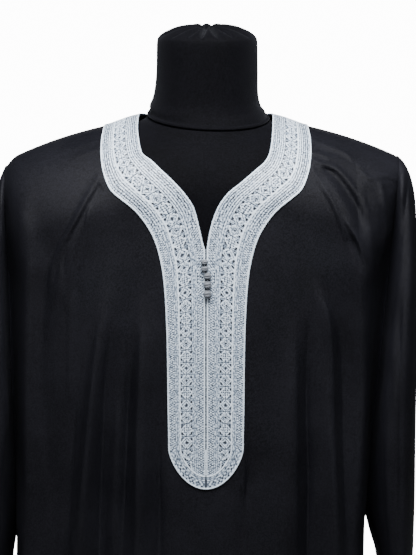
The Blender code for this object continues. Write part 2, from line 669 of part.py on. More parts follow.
def back_mesh():
    """Points and faces of the whole back, with the numbers of its grid and of its neck part."""
    rows = len(BACK_ARCH_SHARES) + len(BACK_ROWS) + LOWER_ROWS
    row_marks = np.arange(rows, dtype=float)
    column_marks = np.arange(BACK_COLUMNS + 1, dtype=float)
    shares = np.arange(BAND_STEPS) / BAND_STEPS
    points = []
    grids = {}
    necks = {}
    for side in ("right", "left"):
        first = sum(len(block) for block in points)
        main = back_surface(side, row_marks, column_marks)
        neck = back_band_surface(side, shares, BACK_NECK_TURNS)
        grids[side] = first + np.arange(main[..., 0].size).reshape(rows, -1)
        necks[side] = first + grids[side].size + np.arange(neck[..., 0].size).reshape(BAND_STEPS, -1)
        points += [main.reshape(-1, 3), neck.reshape(-1, 3)]
    grids["left"][:, 0] = grids["right"][:, 0]
    necks["left"][:, 0] = necks["right"][:, 0]
    faces = []
    for side in ("right", "left"):
        necks[side] = np.concatenate((necks[side], grids[side][:1, :BACK_NECK_END + 1]))
        for block in (grids[side], necks[side]):
            faces += cell_faces(block, turned_round=side == "left")
    return np.concatenate(points), faces, grids, necks


def front_turns():
    """Armhole turns of the front rows."""
    return np.concatenate((NECK_ROWS[:, 5], SLIT_ROWS[:, 3]))


def back_arch_turns(side, shares):
    """Armhole turns of the back rows that lie in the shoulder's arch."""
    half_height = (SLEEVES[side][0][2] - SLEEVES[side][0][4]) / 2.0
    drop = ARCH_DROP * (1.0 - np.cos(np.asarray(shares) * math.pi / 2.0))
    return np.degrees(np.arccos(1.0 - drop / half_height))


def back_turns(side):
    """Armhole turns of the back rows, from the shoulder to the underarm."""
    return np.concatenate((back_arch_turns(side, BACK_ARCH_SHARES), BACK_ROWS[:, 1]))


def sleeve_mesh(side):
    """Points and faces of a sleeve: the front turns first, then the back ones upwards."""
    turns = np.concatenate((front_turns(), 360.0 - back_turns(side)[-2:0:-1]))
    rings = sleeve_surface(side, np.arange(SLEEVE_RINGS + 1), turns)
    faces = cell_faces(round_numbers(*rings.shape[:2]), turned_round=side == "left")
    return rings.reshape(-1, 3), faces, rings.shape[1]


def outward(normals, points, centre):
    """Normals turned away from a centre."""
    if np.sum(normals * (points - centre)) < 0.0:
        return -normals
    return normals


def seams_upright(normals, seams):
    """Turns the normals on the shoulder and side seams into the seam's plane."""
    seams = list(seams)
    normals[seams, 1] = 0.0
    normals[seams] = unit(normals[seams])


def build_cloth(cloth, silver):
    """Front, back, sleeves and neck band, parted at their seams."""
    front, front_faces, front_number = front_mesh()
    back, back_faces, back_number, neck_number = back_mesh()
    middle = np.array((0.0, 0.0, 1.0))
    front_normals = outward(point_normals(front, front_faces), front, middle)
    back_normals = outward(point_normals(back, back_faces), back, middle)
    sides = ("right", "left")
    front_under = len(front_turns()) - 1
    back_under = len(back_turns("right")) - 1
    front_seams = np.unique(np.concatenate(
        [front_number[side][0] for side in sides]
        + [front_number[side][front_under:, -1] for side in sides]))
    back_seams = np.unique(np.concatenate(
        [back_number[side][0, BACK_NECK_END:] for side in sides]
        + [neck_number[side][:, -1] for side in sides]
        + [back_number[side][back_under:, -1] for side in sides]))
    seams_upright(front_normals, front_seams)
    seams_upright(back_normals, back_seams)
    build_band(front, front_normals, front_faces, front_number,
               back, back_normals, back_faces, neck_number, silver)

    for side in sides:
        points, faces, count = sleeve_mesh(side)
        ring = np.arange(count)
        normals = outward(point_normals(points, faces), points, points.mean(axis=0))
        front_ring = front_number[side][:front_under + 1, -1]
        back_ring = back_number[side][:back_under + 1, -1]
        panel = np.concatenate((front_normals[front_ring], back_normals[back_ring][-2:0:-1]))
        panel[0] += back_normals[back_ring[0]]
        panel[front_under] += back_normals[back_ring[-1]]
        shared = unit(unit(panel) + normals[ring])
        corners = (0, front_under)
        seams_upright(shared, corners)
        along = np.roll(points[ring], -1, axis=0) - np.roll(points[ring], 1, axis=0)
        apart = unit(np.cross(along, shared))
        seams_upright(apart, corners)
        apart *= SEAM_GAP / 2.0
        apart *= np.sign(apart[:, 0].sum()) * SIDE_SIGN[side]
        order = np.append(0, ring[:front_under - 1:-1])
        front_normals[front_ring] = shared[:front_under + 1]
        back_normals[back_ring] = shared[order]
        front[front_ring] -= apart[:front_under + 1]
        back[back_ring] -= apart[order]
        normals[ring] = shared
        points[ring] += apart
        wall("sleeve_" + side, points, points - CLOTH * normals, faces, cloth)

    front[front_seams, 1] -= SEAM_GAP / 2.0
    back[back_seams, 1] += SEAM_GAP / 2.0
    wall("front", front, front - CLOTH * front_normals, front_faces, cloth)
    wall("back", back, back - CLOTH * back_normals, back_faces, cloth)


def u_end_points():
    """Points and normals of the band's round end, from the right side to the left."""
    turns = np.radians(180.0 * np.arange(1, U_END_STEPS) / U_END_STEPS)[:, None]
    shares = (np.arange(BAND_STEPS + 1) / BAND_STEPS)[None, :]
    centre_z, band_half = SLIT_ROWS[U_END_ROW - len(NECK_ROWS), :2]
    x = (SLIT_HALF + (band_half - SLIT_HALF) * shares) * np.cos(turns)
    z = centre_z - (SLIT_HALF + (U_END_DROP - SLIT_HALF) * shares) * np.sin(turns) ** U_END_FALL
    step = 1e-4

    def depth(at_x, at_z):
        right = face_depth("right", "front", at_x, at_z)
        return np.where(at_x >= 0.0, right, face_depth("left", "front", at_x, at_z))

    slope_x = (depth(x + step, z) - depth(x - step, z)) / (2.0 * step)
    slope_z = (depth(x, z + step) - depth(x, z - step)) / (2.0 * step)
    points = np.stack((x, -depth(x, z), z), axis=-1)
    return points, unit(np.stack((-slope_x, -np.ones_like(x), -slope_z), axis=-1))


def build_band(front, front_normals, front_faces, front_number,
               back, back_normals, back_faces, neck_number, silver):
    """The embroidered band, lifted off the panels' own cells, with a round end below the slit."""
    end, end_normals = u_end_points()
    points = np.concatenate((front, back, end.reshape(-1, 3)))
    normals = np.concatenate((front_normals, back_normals, end_normals.reshape(-1, 3)))
    gaps = np.full(len(points), BAND_GAP)
    gaps[len(front) + len(back):] = U_END_GAP
    front_cells = set()
    back_cells = set()
    weld = {}
    for side in ("right", "left"):
        front_cells.update(front_number[side][:U_END_ROW + 1, :BAND_STEPS + 1].ravel().tolist())
        back_cells.update(neck_number[side].ravel().tolist())
        gaps[front_number[side][U_END_ROW, :BAND_STEPS + 1]] = U_END_GAP
        for low, high in zip(neck_number[side][:, -1], front_number[side][0, :BAND_STEPS + 1]):
            weld[int(low) + len(front)] = int(high)
    faces = [face for face in front_faces if front_cells.issuperset(face)]
    faces += [tuple(weld.get(corner + len(front), corner + len(front)) for corner in face)
              for face in back_faces if back_cells.issuperset(face)]
    end_numbers = len(front) + len(back) + np.arange(end[..., 0].size).reshape(end.shape[:2])
    rows = [front_number["right"][U_END_ROW:U_END_ROW + 1, :BAND_STEPS + 1], end_numbers,
            front_number["left"][U_END_ROW:U_END_ROW + 1, :BAND_STEPS + 1]]
    faces += cell_faces(np.concatenate(rows), turned_round=True)
    under = points + normals * gaps[:, None]
    wall("neck_band", under + normals * BAND_THICK, under, faces, silver)


def band_front(x, z):
    """Depth of the band's outer face near the slit."""
    side = "right" if x >= 0.0 else "left"
    return float(face_depth(side, "front", abs(x), z)) + BAND_GAP + BAND_THICK


def build_buttons(silver):
    """Knotted cord buttons: squat balls with a waist, flat where they lie on the band."""
    rings = 6
    columns = 12
    for k, (x, z, half_width, half_height) in enumerate(BUTTONS):
        turn = np.radians(180.0 * (np.arange(rings) + 0.5) / rings)[:, None]
        lean = np.radians(360.0 * np.arange(columns) / columns)[None, :]
        waist = 1.0 - 0.10 * np.exp(-((np.cos(turn) / 0.18) ** 2))
        across = half_width * np.sin(turn) * np.cos(lean) * waist
        out = BUTTON_HALF_DEPTH * np.sin(turn) * np.sin(lean) * waist
        up = half_height * np.cos(turn) + 0.0 * lean
        depth = band_front(x, z) + SEAM_GAP + BUTTON_SEAT + np.maximum(out, -BUTTON_SEAT)
        loft(f"button_{k + 1}", np.stack((x + across, -depth, z + up), axis=-1), silver)


def build_torso(jersey):
    """Smooth torso of the dress form: neck ring, shoulders, then sections down to its flat end."""
    turn = np.radians(360.0 * np.arange(FORM_COLUMNS) / FORM_COLUMNS)
    cos = np.cos(turn)
    sin = np.sin(turn)
    rings = []
    foot_y = NECK_FOOT_DEPTH * sin
    foot_z = NECK_FOOT_HEIGHT + NECK_FOOT_TILT * foot_y + NECK_SIDE_TILT * NECK_FOOT_HALF * cos
    rings.append(np.stack((NECK_FOOT_SHIFT + NECK_FOOT_HALF * cos, foot_y, foot_z), axis=-1))
    for share in (0.0, 0.16, 0.36, 0.58, 0.80, 1.0):
        x = (NECK_HALF - 0.001 + (FORM_SHOULDER - NECK_HALF) * share) * cos
        inner = 0.70 * sin
        lean = np.arcsin(inner + (sin - inner) * share)
        z = shoulder_line(x) - FORM_SINK - ARCH_DROP * (1.0 - np.cos(lean))
        full = np.where(sin < 0.0, face_depth("right", "front", x, z), face_depth("right", "back", x, z))
        shoulder_end = smooth_step((np.abs(x) - FORM_END_START) / (FORM_SHOULDER - FORM_END_START))
        y = np.sin(lean) * (full - FORM_INSET - FORM_END_INSET * shoulder_end)
        rings.append(np.stack((x, y, z), axis=-1))
    last = rings[-1]
    for height, half, front, back in FORM_LEVELS[::-1]:
        depth = np.where(sin < 0.0, front, back)
        rings.append(np.stack((half * cos, depth * sin, np.full_like(sin, height)), axis=-1))
    between = (last + rings[7]) / 2.0
    between[:, 2] = last[:, 2] * 0.45 + rings[7][:, 2] * 0.55
    rings.insert(7, between)
    loft("form_torso", np.array(rings), jersey)


def build_neck_cover(jersey):
    """Neck cover: rolled hem, straight neck and a cap gathered to a knot."""
    turn = np.radians(360.0 * np.arange(NECK_COLUMNS) / NECK_COLUMNS)
    pleat = np.where(np.arange(NECK_COLUMNS) % 2 == 0, 1.0, -1.0)
    rings = []
    for height, half, depth in NECK_COVER:
        x = half * np.cos(turn)
        y = depth * np.sin(turn)
        tilt = 1.0 - smooth_step(height / TILT_END)
        shift = NECK_FOOT_SHIFT * (1.0 - smooth_step((height - HEM_ROLL_TOP) / FOOT_SHIFT_EASE))
        shift += NECK_TOP_SHIFT * smooth_step((height - LEAN_START) / LEAN_EASE)
        z = NECK_FOOT_HEIGHT + height + tilt * (NECK_FOOT_TILT * y + NECK_SIDE_TILT * x)
        rings.append(np.stack((x + shift, y, z), axis=-1))
    half, depth = NECK_COVER[-1, 1:]
    for height, share, rise in NECK_CAP:
        x = NECK_TOP_SHIFT + half * share * np.cos(turn)
        rings.append(np.stack((x, depth * share * np.sin(turn), height + rise * pleat), axis=-1))
    loft("form_neck_cover", np.array(rings), jersey)


def turned(name, profile, material):
    """Round body from a profile of radius and height, bottom to top."""
    turn = np.radians(360.0 * np.arange(ROUND_STEPS) / ROUND_STEPS)
    rings = [np.stack((radius * np.cos(turn), radius * np.sin(turn), np.full_like(turn, height)), axis=-1)
             for radius, height in profile]
    return loft(name, np.array(rings), material)


def build_stand(metal):
    """Pole and round base of the dress form."""
    turned("form_base", (
        (BASE_RADIUS - 0.002, 0.0),
        (BASE_RADIUS, 0.002),
        (BASE_RADIUS, BASE_THICK - 0.003),
        (BASE_RADIUS - 0.003, BASE_THICK),
        (HUB_RADIUS + 0.006, BASE_THICK + 0.002),
        (HUB_RADIUS, BASE_THICK + 0.008),
        (HUB_RADIUS - 0.003, HUB_HEIGHT),
    ), metal)
    turned("form_pole", (
        (POLE_RADIUS, HUB_HEIGHT + SEAM_GAP),
        (POLE_RADIUS, FORM_LEVELS[0, 0] - SEAM_GAP),
    ), metal)


def main():
    """Clears the scene and builds every piece."""
    for thing in list(bpy.data.objects):
        bpy.data.objects.remove(thing)
    crepe = make_material("black crepe", (0.012, 0.012, 0.015), 0.55)
    silver = make_material("silver embroidery", (0.42, 0.45, 0.50), 0.45)
    cord = make_material("grey silk cord", (0.20, 0.22, 0.25), 0.50)
    jersey = make_material("black jersey", (0.010, 0.010, 0.012), 0.85)
    metal = make_material("dark painted steel", (0.02, 0.02, 0.022), 0.40)
    build_cloth(crepe, silver)
    build_buttons(cord)
    build_torso(jersey)
    build_neck_cover(jersey)
    build_stand(metal)


main()
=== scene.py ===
"""Looks of a loose black robe with a silver embroidered neck band, on a limbless dress form.

Metres, +Z up, front of the robe towards -Y. Every cloth piece is a surface of two parameters, rows
down the robe and columns from its middle to its seam, worked out from the same sizes as its solid.
"""

import math

import bmesh
import bpy
import numpy as np
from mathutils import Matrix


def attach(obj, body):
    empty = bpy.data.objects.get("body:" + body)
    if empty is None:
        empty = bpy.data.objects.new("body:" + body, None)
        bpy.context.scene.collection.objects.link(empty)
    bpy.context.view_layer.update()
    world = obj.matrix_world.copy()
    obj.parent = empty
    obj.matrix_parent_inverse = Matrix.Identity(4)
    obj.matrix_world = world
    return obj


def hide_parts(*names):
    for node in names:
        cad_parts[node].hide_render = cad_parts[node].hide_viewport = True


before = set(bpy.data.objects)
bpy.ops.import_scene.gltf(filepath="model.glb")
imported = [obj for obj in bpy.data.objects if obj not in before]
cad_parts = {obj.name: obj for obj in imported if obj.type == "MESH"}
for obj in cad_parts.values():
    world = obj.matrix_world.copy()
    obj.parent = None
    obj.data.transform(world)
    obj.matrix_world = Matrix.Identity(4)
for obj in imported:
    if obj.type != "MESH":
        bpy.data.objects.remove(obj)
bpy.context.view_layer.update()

# Photograph's height in pixels, and the camera that took it
PHOTO_HEIGHT = 555
FOCAL_PIXELS = 2086.0
SENSOR = 36.0
CAMERA_PLACE = (0.0025, -2.6, 1.76)
CAMERA_PITCH = 10.3

# Cloth and seams
CLOTH = 0.0013
HEM = 0.070
WELD = 1e-5
SEAM_GAP = 0.0003

# Shoulder line, seen from the front
NECK_POINT_HEIGHT = 1.5005
SHOULDER_FALL = 0.13
SHOULDER_CURVE = 2.0
TIP_START = 0.235
TIP_CURVE = 31.0
NECK_RISE = 0.005
RISE_END = 0.128
RISE_SPAN = 0.0444
ARCH_DROP = 0.10

# Depth at the edge of the front or back face, as a share of its middle, at the chest and the hem
EDGE_SHARE = 0.80
HEM_EDGE_SHARE = 0.60
FACE_POWER = 2.4
FOLD_LEAN = 0.35
TURN = 0.014
HEM_TURN = 0.030
SKIRT_TOP = 1.02
SKIRT_EASE = 0.60

# Flank from a face's edge to the seam: how far its curve's two middle points stand off, below and at the
# sleeve's full top, and the heights over which its seam's valley and the shoulder's arch come in
FLANK_BULGE = 0.002
FLANK_FALL = 0.93
FLANK_REACH = 0.010
FLANK_REACH_SHARE = 0.4
TOP_INSET = 0.004
TOP_REACH = 0.003
VALLEY_SPAN = 0.12
DRAPE_LOW = 1.25
DRAPE_SPAN = 0.12

# Share of the lower rows over which the front's columns become even, and the rows over which the back's
# lower shape and its folds come in
EVEN_FROM = 0.35
LOW_ROWS = 3.0
FOLD_START = 1.5
FOLD_ROWS = 5.0

# Where the front's folds, creases and swell start: width beside the band, then the lowest height and
# the span over which the band's end comes in
FOLD_FADE = (0.028, 0.965, 0.075)
CREASE_FADE = (0.003, 1.040, 0.010)
SWELL_FADE = (0.030, 0.980, 0.060)
SWELL_TOP = 0.05
SEAM_FADE = 0.25

# Swell of the hanging cloth: its height, and waves across and down a metre, start and share
SWELL = 0.0010
SLEEVE_SWELL = 0.0008
BACK_SEED = 2.6
SLEEVE_SEED = 1.3
WAVES = (
    (31.0, 5.0, 0.0, 0.34),
    (47.0, -8.0, 1.7, 0.26),
    (68.0, 11.0, 3.1, 0.18),
    (93.0, -21.0, 4.4, 0.12),
    (12.0, 24.0, 2.2, 0.16),
)

# Slit and band: their outline, the band's thickness and points, the drop down to which its rows are
# corded, its lowest relief and the relief below which its painted shade grows no darker, the painted
# shade of its underside, and the mitre in its round end, a groove that its relief also paints darker
SLIT_HALF = 0.0006
BAND_STEPS = 5
U_END_DROP = 0.0503
U_END_FALL = 1.38
U_END_ROW = 20
NECK_HALF = 0.0828
BAND_HALF = 0.1272
BACK_NECK_DEPTH = 0.080
BACK_BAND_DEPTH = 0.108
BAND_LIFT = 0.0007
BAND_UNDER = 0.0002
BAND_THICKNESS = 0.0018
BAND_COLUMNS = 79
UNDER_EVERY = 13
STITCH_STEP = 0.00075
CORDED_DROP = 0.150
CORDED_SPAN = 0.05
HOLE_BOTTOM = -0.35
DARKEST_SHADE = -0.4
UNDER_SHADE = 0.3
MITRE_WIDTH = 0.8
MITRE_DEPTH = 0.8

# Column and row marks of the panels
FACE_END = 14
FRONT_COLUMNS = 17
BACK_NECK_TURNS = (90.0, 72.0, 54.0, 38.0, 24.0, 12.0, 5.0, 0.0)
BACK_NECK_END = len(BACK_NECK_TURNS) - 1
BACK_FACE_END = 10
BACK_COLUMNS = 13
LOWER_ROWS = 9
SLEEVE_RINGS = 11
SLEEVE_COLUMNS = 144

# Fine rows of the panels and rings of the sleeves: start, end and number of steps of each stretch
FRONT_STRETCHES = ((0, 9, 72), (9, 22, 72), (22, 31, 40))
BACK_STRETCHES = ((0, 6, 42), (6, 14, 48), (14, 23, 99))
SLEEVE_STRETCHES = ((0, 3, 36), (3, 10.6, 76), (10.6, SLEEVE_RINGS, 8))

# Robe sections: height, half width right, half width left, front depth, back depth
BODY_LEVELS = np.array((
    (0.070, 0.262, 0.285, 0.176, 0.162),
    (0.400, 0.235, 0.262, 0.162, 0.150),
    (0.700, 0.212, 0.246, 0.148, 0.137),
    (0.950, 0.197, 0.238, 0.136, 0.125),
    (1.150, 0.2045, 0.2345, 0.131, 0.120),
    (1.280, 0.2035, 0.231, 0.130, 0.118),
    (1.360, 0.200, 0.226, 0.127, 0.116),
    (1.500, 0.195, 0.215, 0.125, 0.115),
))

# Front rows round the neck: neckline left, right, its drop below the shoulder line, band edge,
# its drop, turn round the armhole
NECK_ROWS = np.array((
    (0.0828, 0.0828, 0.0000, 0.1272, 0.0000, 0),
    (0.0831, 0.0823, 0.0010, 0.1274, 0.0012, 5),
    (0.0832, 0.0816, 0.0052, 0.1279, 0.0050, 12),
    (0.0828, 0.0808, 0.0120, 0.1285, 0.0100, 19),
    (0.0811, 0.0796, 0.0215, 0.1285, 0.0205, 26),
    (0.0768, 0.0764, 0.0367, 0.1266, 0.0367, 34),
    (0.0652, 0.0711, 0.0468, 0.1171, 0.0656, 42),
    (0.0535, 0.0589, 0.0585, 0.1028, 0.0837, 49),
    (0.0379, 0.0420, 0.0744, 0.0905, 0.0968, 56),
    (0.0251, 0.0254, 0.0897, 0.0787, 0.1113, 62),
    (0.0142, 0.0138, 0.1079, 0.0647, 0.1356, 68),
    (0.0082, 0.0060, 0.1300, 0.0585, 0.1535, 74),
    (0.0032, 0.0016, 0.1525, 0.0541, 0.1734, 79),
    (SLIT_HALF, SLIT_HALF, 0.1636, 0.0520, 0.1871, 84),
))

# Front rows beside and below the slit: height in the middle, band edge, its height, armhole turn
SLIT_ROWS = np.array((
    (1.3050, 0.0500, 1.2900, 90),
    (1.2700, 0.0485, 1.2600, 98),
    (1.2350, 0.0476, 1.2300, 106),
    (1.2000, 0.0472, 1.1980, 115),
    (1.1650, 0.0470, 1.1650, 125),
    (1.1300, 0.0465, 1.1300, 136),
    (1.0980, 0.0462, 1.0980, 148),
    (1.0700, 0.0462, 1.0700, 163),
    (1.0400, 0.0470, 1.0380, 180),
))

# Back rows below the shoulders: share of the arch, then height in the middle and armhole turn
BACK_ARCH_SHARES = (0.0, 0.08, 0.20, 0.36, 0.55, 0.77, 1.0)
BACK_ROWS = np.array((
    (1.350, 68),
    (1.300, 80),
    (1.250, 92),
    (1.205, 105),
    (1.160, 120),
    (1.120, 138),
    (1.080, 158),
    (1.040, 180),
), dtype=float)

# Depth of the armhole seam by its turn from the top, as a share of its half depth: full over the
# shoulder, hollow below it
SEAM_TURNS = (0.0, 5.0, 12.0, 19.0, 26.0, 31.0, 36.0, 44.0, 60.0, 90.0)
SEAM_SHARES = (0.0, 0.30, 0.58, 0.82, 1.00, 1.08, 1.09, 1.03, 0.96, 1.0)
FULL_TOP = 1.36
FULL_TOP_EASE = 0.09
SLEEVE_TOP_FULLNESS = 0.55
SLEEVE_FULLNESS = 0.15
FULL_RINGS = 3.0
TOP_SPAN = 0.9
TOP_RINGS = 4.0
SLEEVE_EASE = 1.2
CUFF_RINGS = 0.35
CUFF_EASE = 0.02
CUFF_STEP = 0.0006

# Sleeve sections: place along it, top x and z, underarm x and z, half depth
SLEEVES = {
    "right": np.array((
        (0.0, 0.2400, 1.4409, 0.2030, 0.9870, 0.045),
        (1.0, 0.2490, 1.4305, 0.2045, 0.9840, 0.072),
        (2.0, 0.2570, 1.4090, 0.2060, 0.9800, 0.083),
        (3.0, 0.2615, 1.3780, 0.2078, 0.9755, 0.089),
        (5.0, 0.2650, 1.2700, 0.2110, 0.9630, 0.094),
        (7.0, 0.2665, 1.1300, 0.2160, 0.9460, 0.093),
        (9.0, 0.2660, 0.9950, 0.2225, 0.9200, 0.087),
        (11.0, 0.2640, 0.8600, 0.2310, 0.8570, 0.077),
    )),
    "left": np.array((
        (0.0, 0.2505, 1.4290, 0.2415, 0.9660, 0.045),
        (1.0, 0.2562, 1.4154, 0.2425, 0.9635, 0.071),
        (2.0, 0.2620, 1.3925, 0.2437, 0.9600, 0.082),
        (3.0, 0.2675, 1.3600, 0.2450, 0.9560, 0.088),
        (5.0, 0.2770, 1.2600, 0.2475, 0.9450, 0.093),
        (7.0, 0.2830, 1.1200, 0.2505, 0.9290, 0.092),
        (9.0, 0.2850, 0.9850, 0.2535, 0.9050, 0.086),
        (11.0, 0.2840, 0.8520, 0.2555, 0.8490, 0.076),
    )),
}

# Folds: top, bottom, x at top, a quarter down and bottom, widths, heights a quarter down and bottom
FRONT_FOLDS = (
    (1.440, 1.120, -0.122, -0.160, -0.196, 0.012, 0.020, 0.0050, 0.000),
    (1.340, 0.070, -0.120, -0.156, -0.190, 0.013, 0.026, 0.0085, 0.018),
    (1.280, 0.070, -0.112, -0.128, -0.153, 0.011, 0.020, -0.0060, -0.010),
    (1.250, 0.070, -0.078, -0.086, -0.120, 0.012, 0.024, 0.0070, 0.016),
    (1.130, 0.070, -0.056, -0.058, -0.082, 0.012, 0.018, -0.0050, -0.010),
    (1.060, 0.070, -0.026, -0.032, -0.045, 0.013, 0.024, 0.0050, 0.015),
    (1.000, 0.070, -0.006, -0.008, -0.012, 0.012, 0.020, -0.0020, -0.009),
    (1.020, 0.070, 0.012, 0.012, 0.010, 0.014, 0.023, 0.0040, 0.016),
    (1.080, 0.070, 0.050, 0.042, 0.040, 0.012, 0.018, -0.0060, -0.010),
    (1.230, 0.070, 0.102, 0.096, 0.096, 0.014, 0.024, 0.0070, 0.017),
    (1.260, 0.070, 0.120, 0.127, 0.137, 0.010, 0.018, -0.0075, -0.011),
    (1.330, 0.070, 0.126, 0.160, 0.176, 0.011, 0.024, 0.0075, 0.015),
    (1.450, 1.180, 0.132, 0.172, 0.200, 0.012, 0.016, 0.0060, 0.000),
    (1.000, 0.070, -0.212, -0.222, -0.246, 0.016, 0.022, 0.0040, 0.013),
    (1.000, 0.070, 0.190, 0.200, 0.228, 0.013, 0.020, 0.0030, 0.011),
)
BACK_FOLDS = (
    (1.390, 0.070, -0.150, -0.172, -0.215, 0.018, 0.028, 0.0060, 0.017),
    (1.340, 0.070, -0.122, -0.142, -0.178, 0.014, 0.022, -0.0040, -0.011),
    (1.360, 0.070, -0.092, -0.108, -0.140, 0.016, 0.026, 0.0050, 0.018),
    (1.200, 0.070, -0.060, -0.070, -0.096, 0.014, 0.022, -0.0035, -0.012),
    (1.260, 0.070, -0.030, -0.042, -0.056, 0.015, 0.026, 0.0045, 0.016),
    (1.220, 0.070, 0.004, -0.004, -0.012, 0.014, 0.022, -0.0035, -0.011),
    (1.300, 0.070, 0.034, 0.034, 0.030, 0.015, 0.025, 0.0045, 0.017),
    (1.240, 0.070, 0.070, 0.072, 0.074, 0.014, 0.022, -0.0035, -0.011),
    (1.370, 0.070, 0.098, 0.108, 0.116, 0.016, 0.026, 0.0055, 0.017),
    (1.330, 0.070, 0.130, 0.144, 0.158, 0.014, 0.020, -0.0040, -0.010),
    (1.380, 0.070, 0.154, 0.174, 0.200, 0.016, 0.024, 0.0050, 0.014),
)

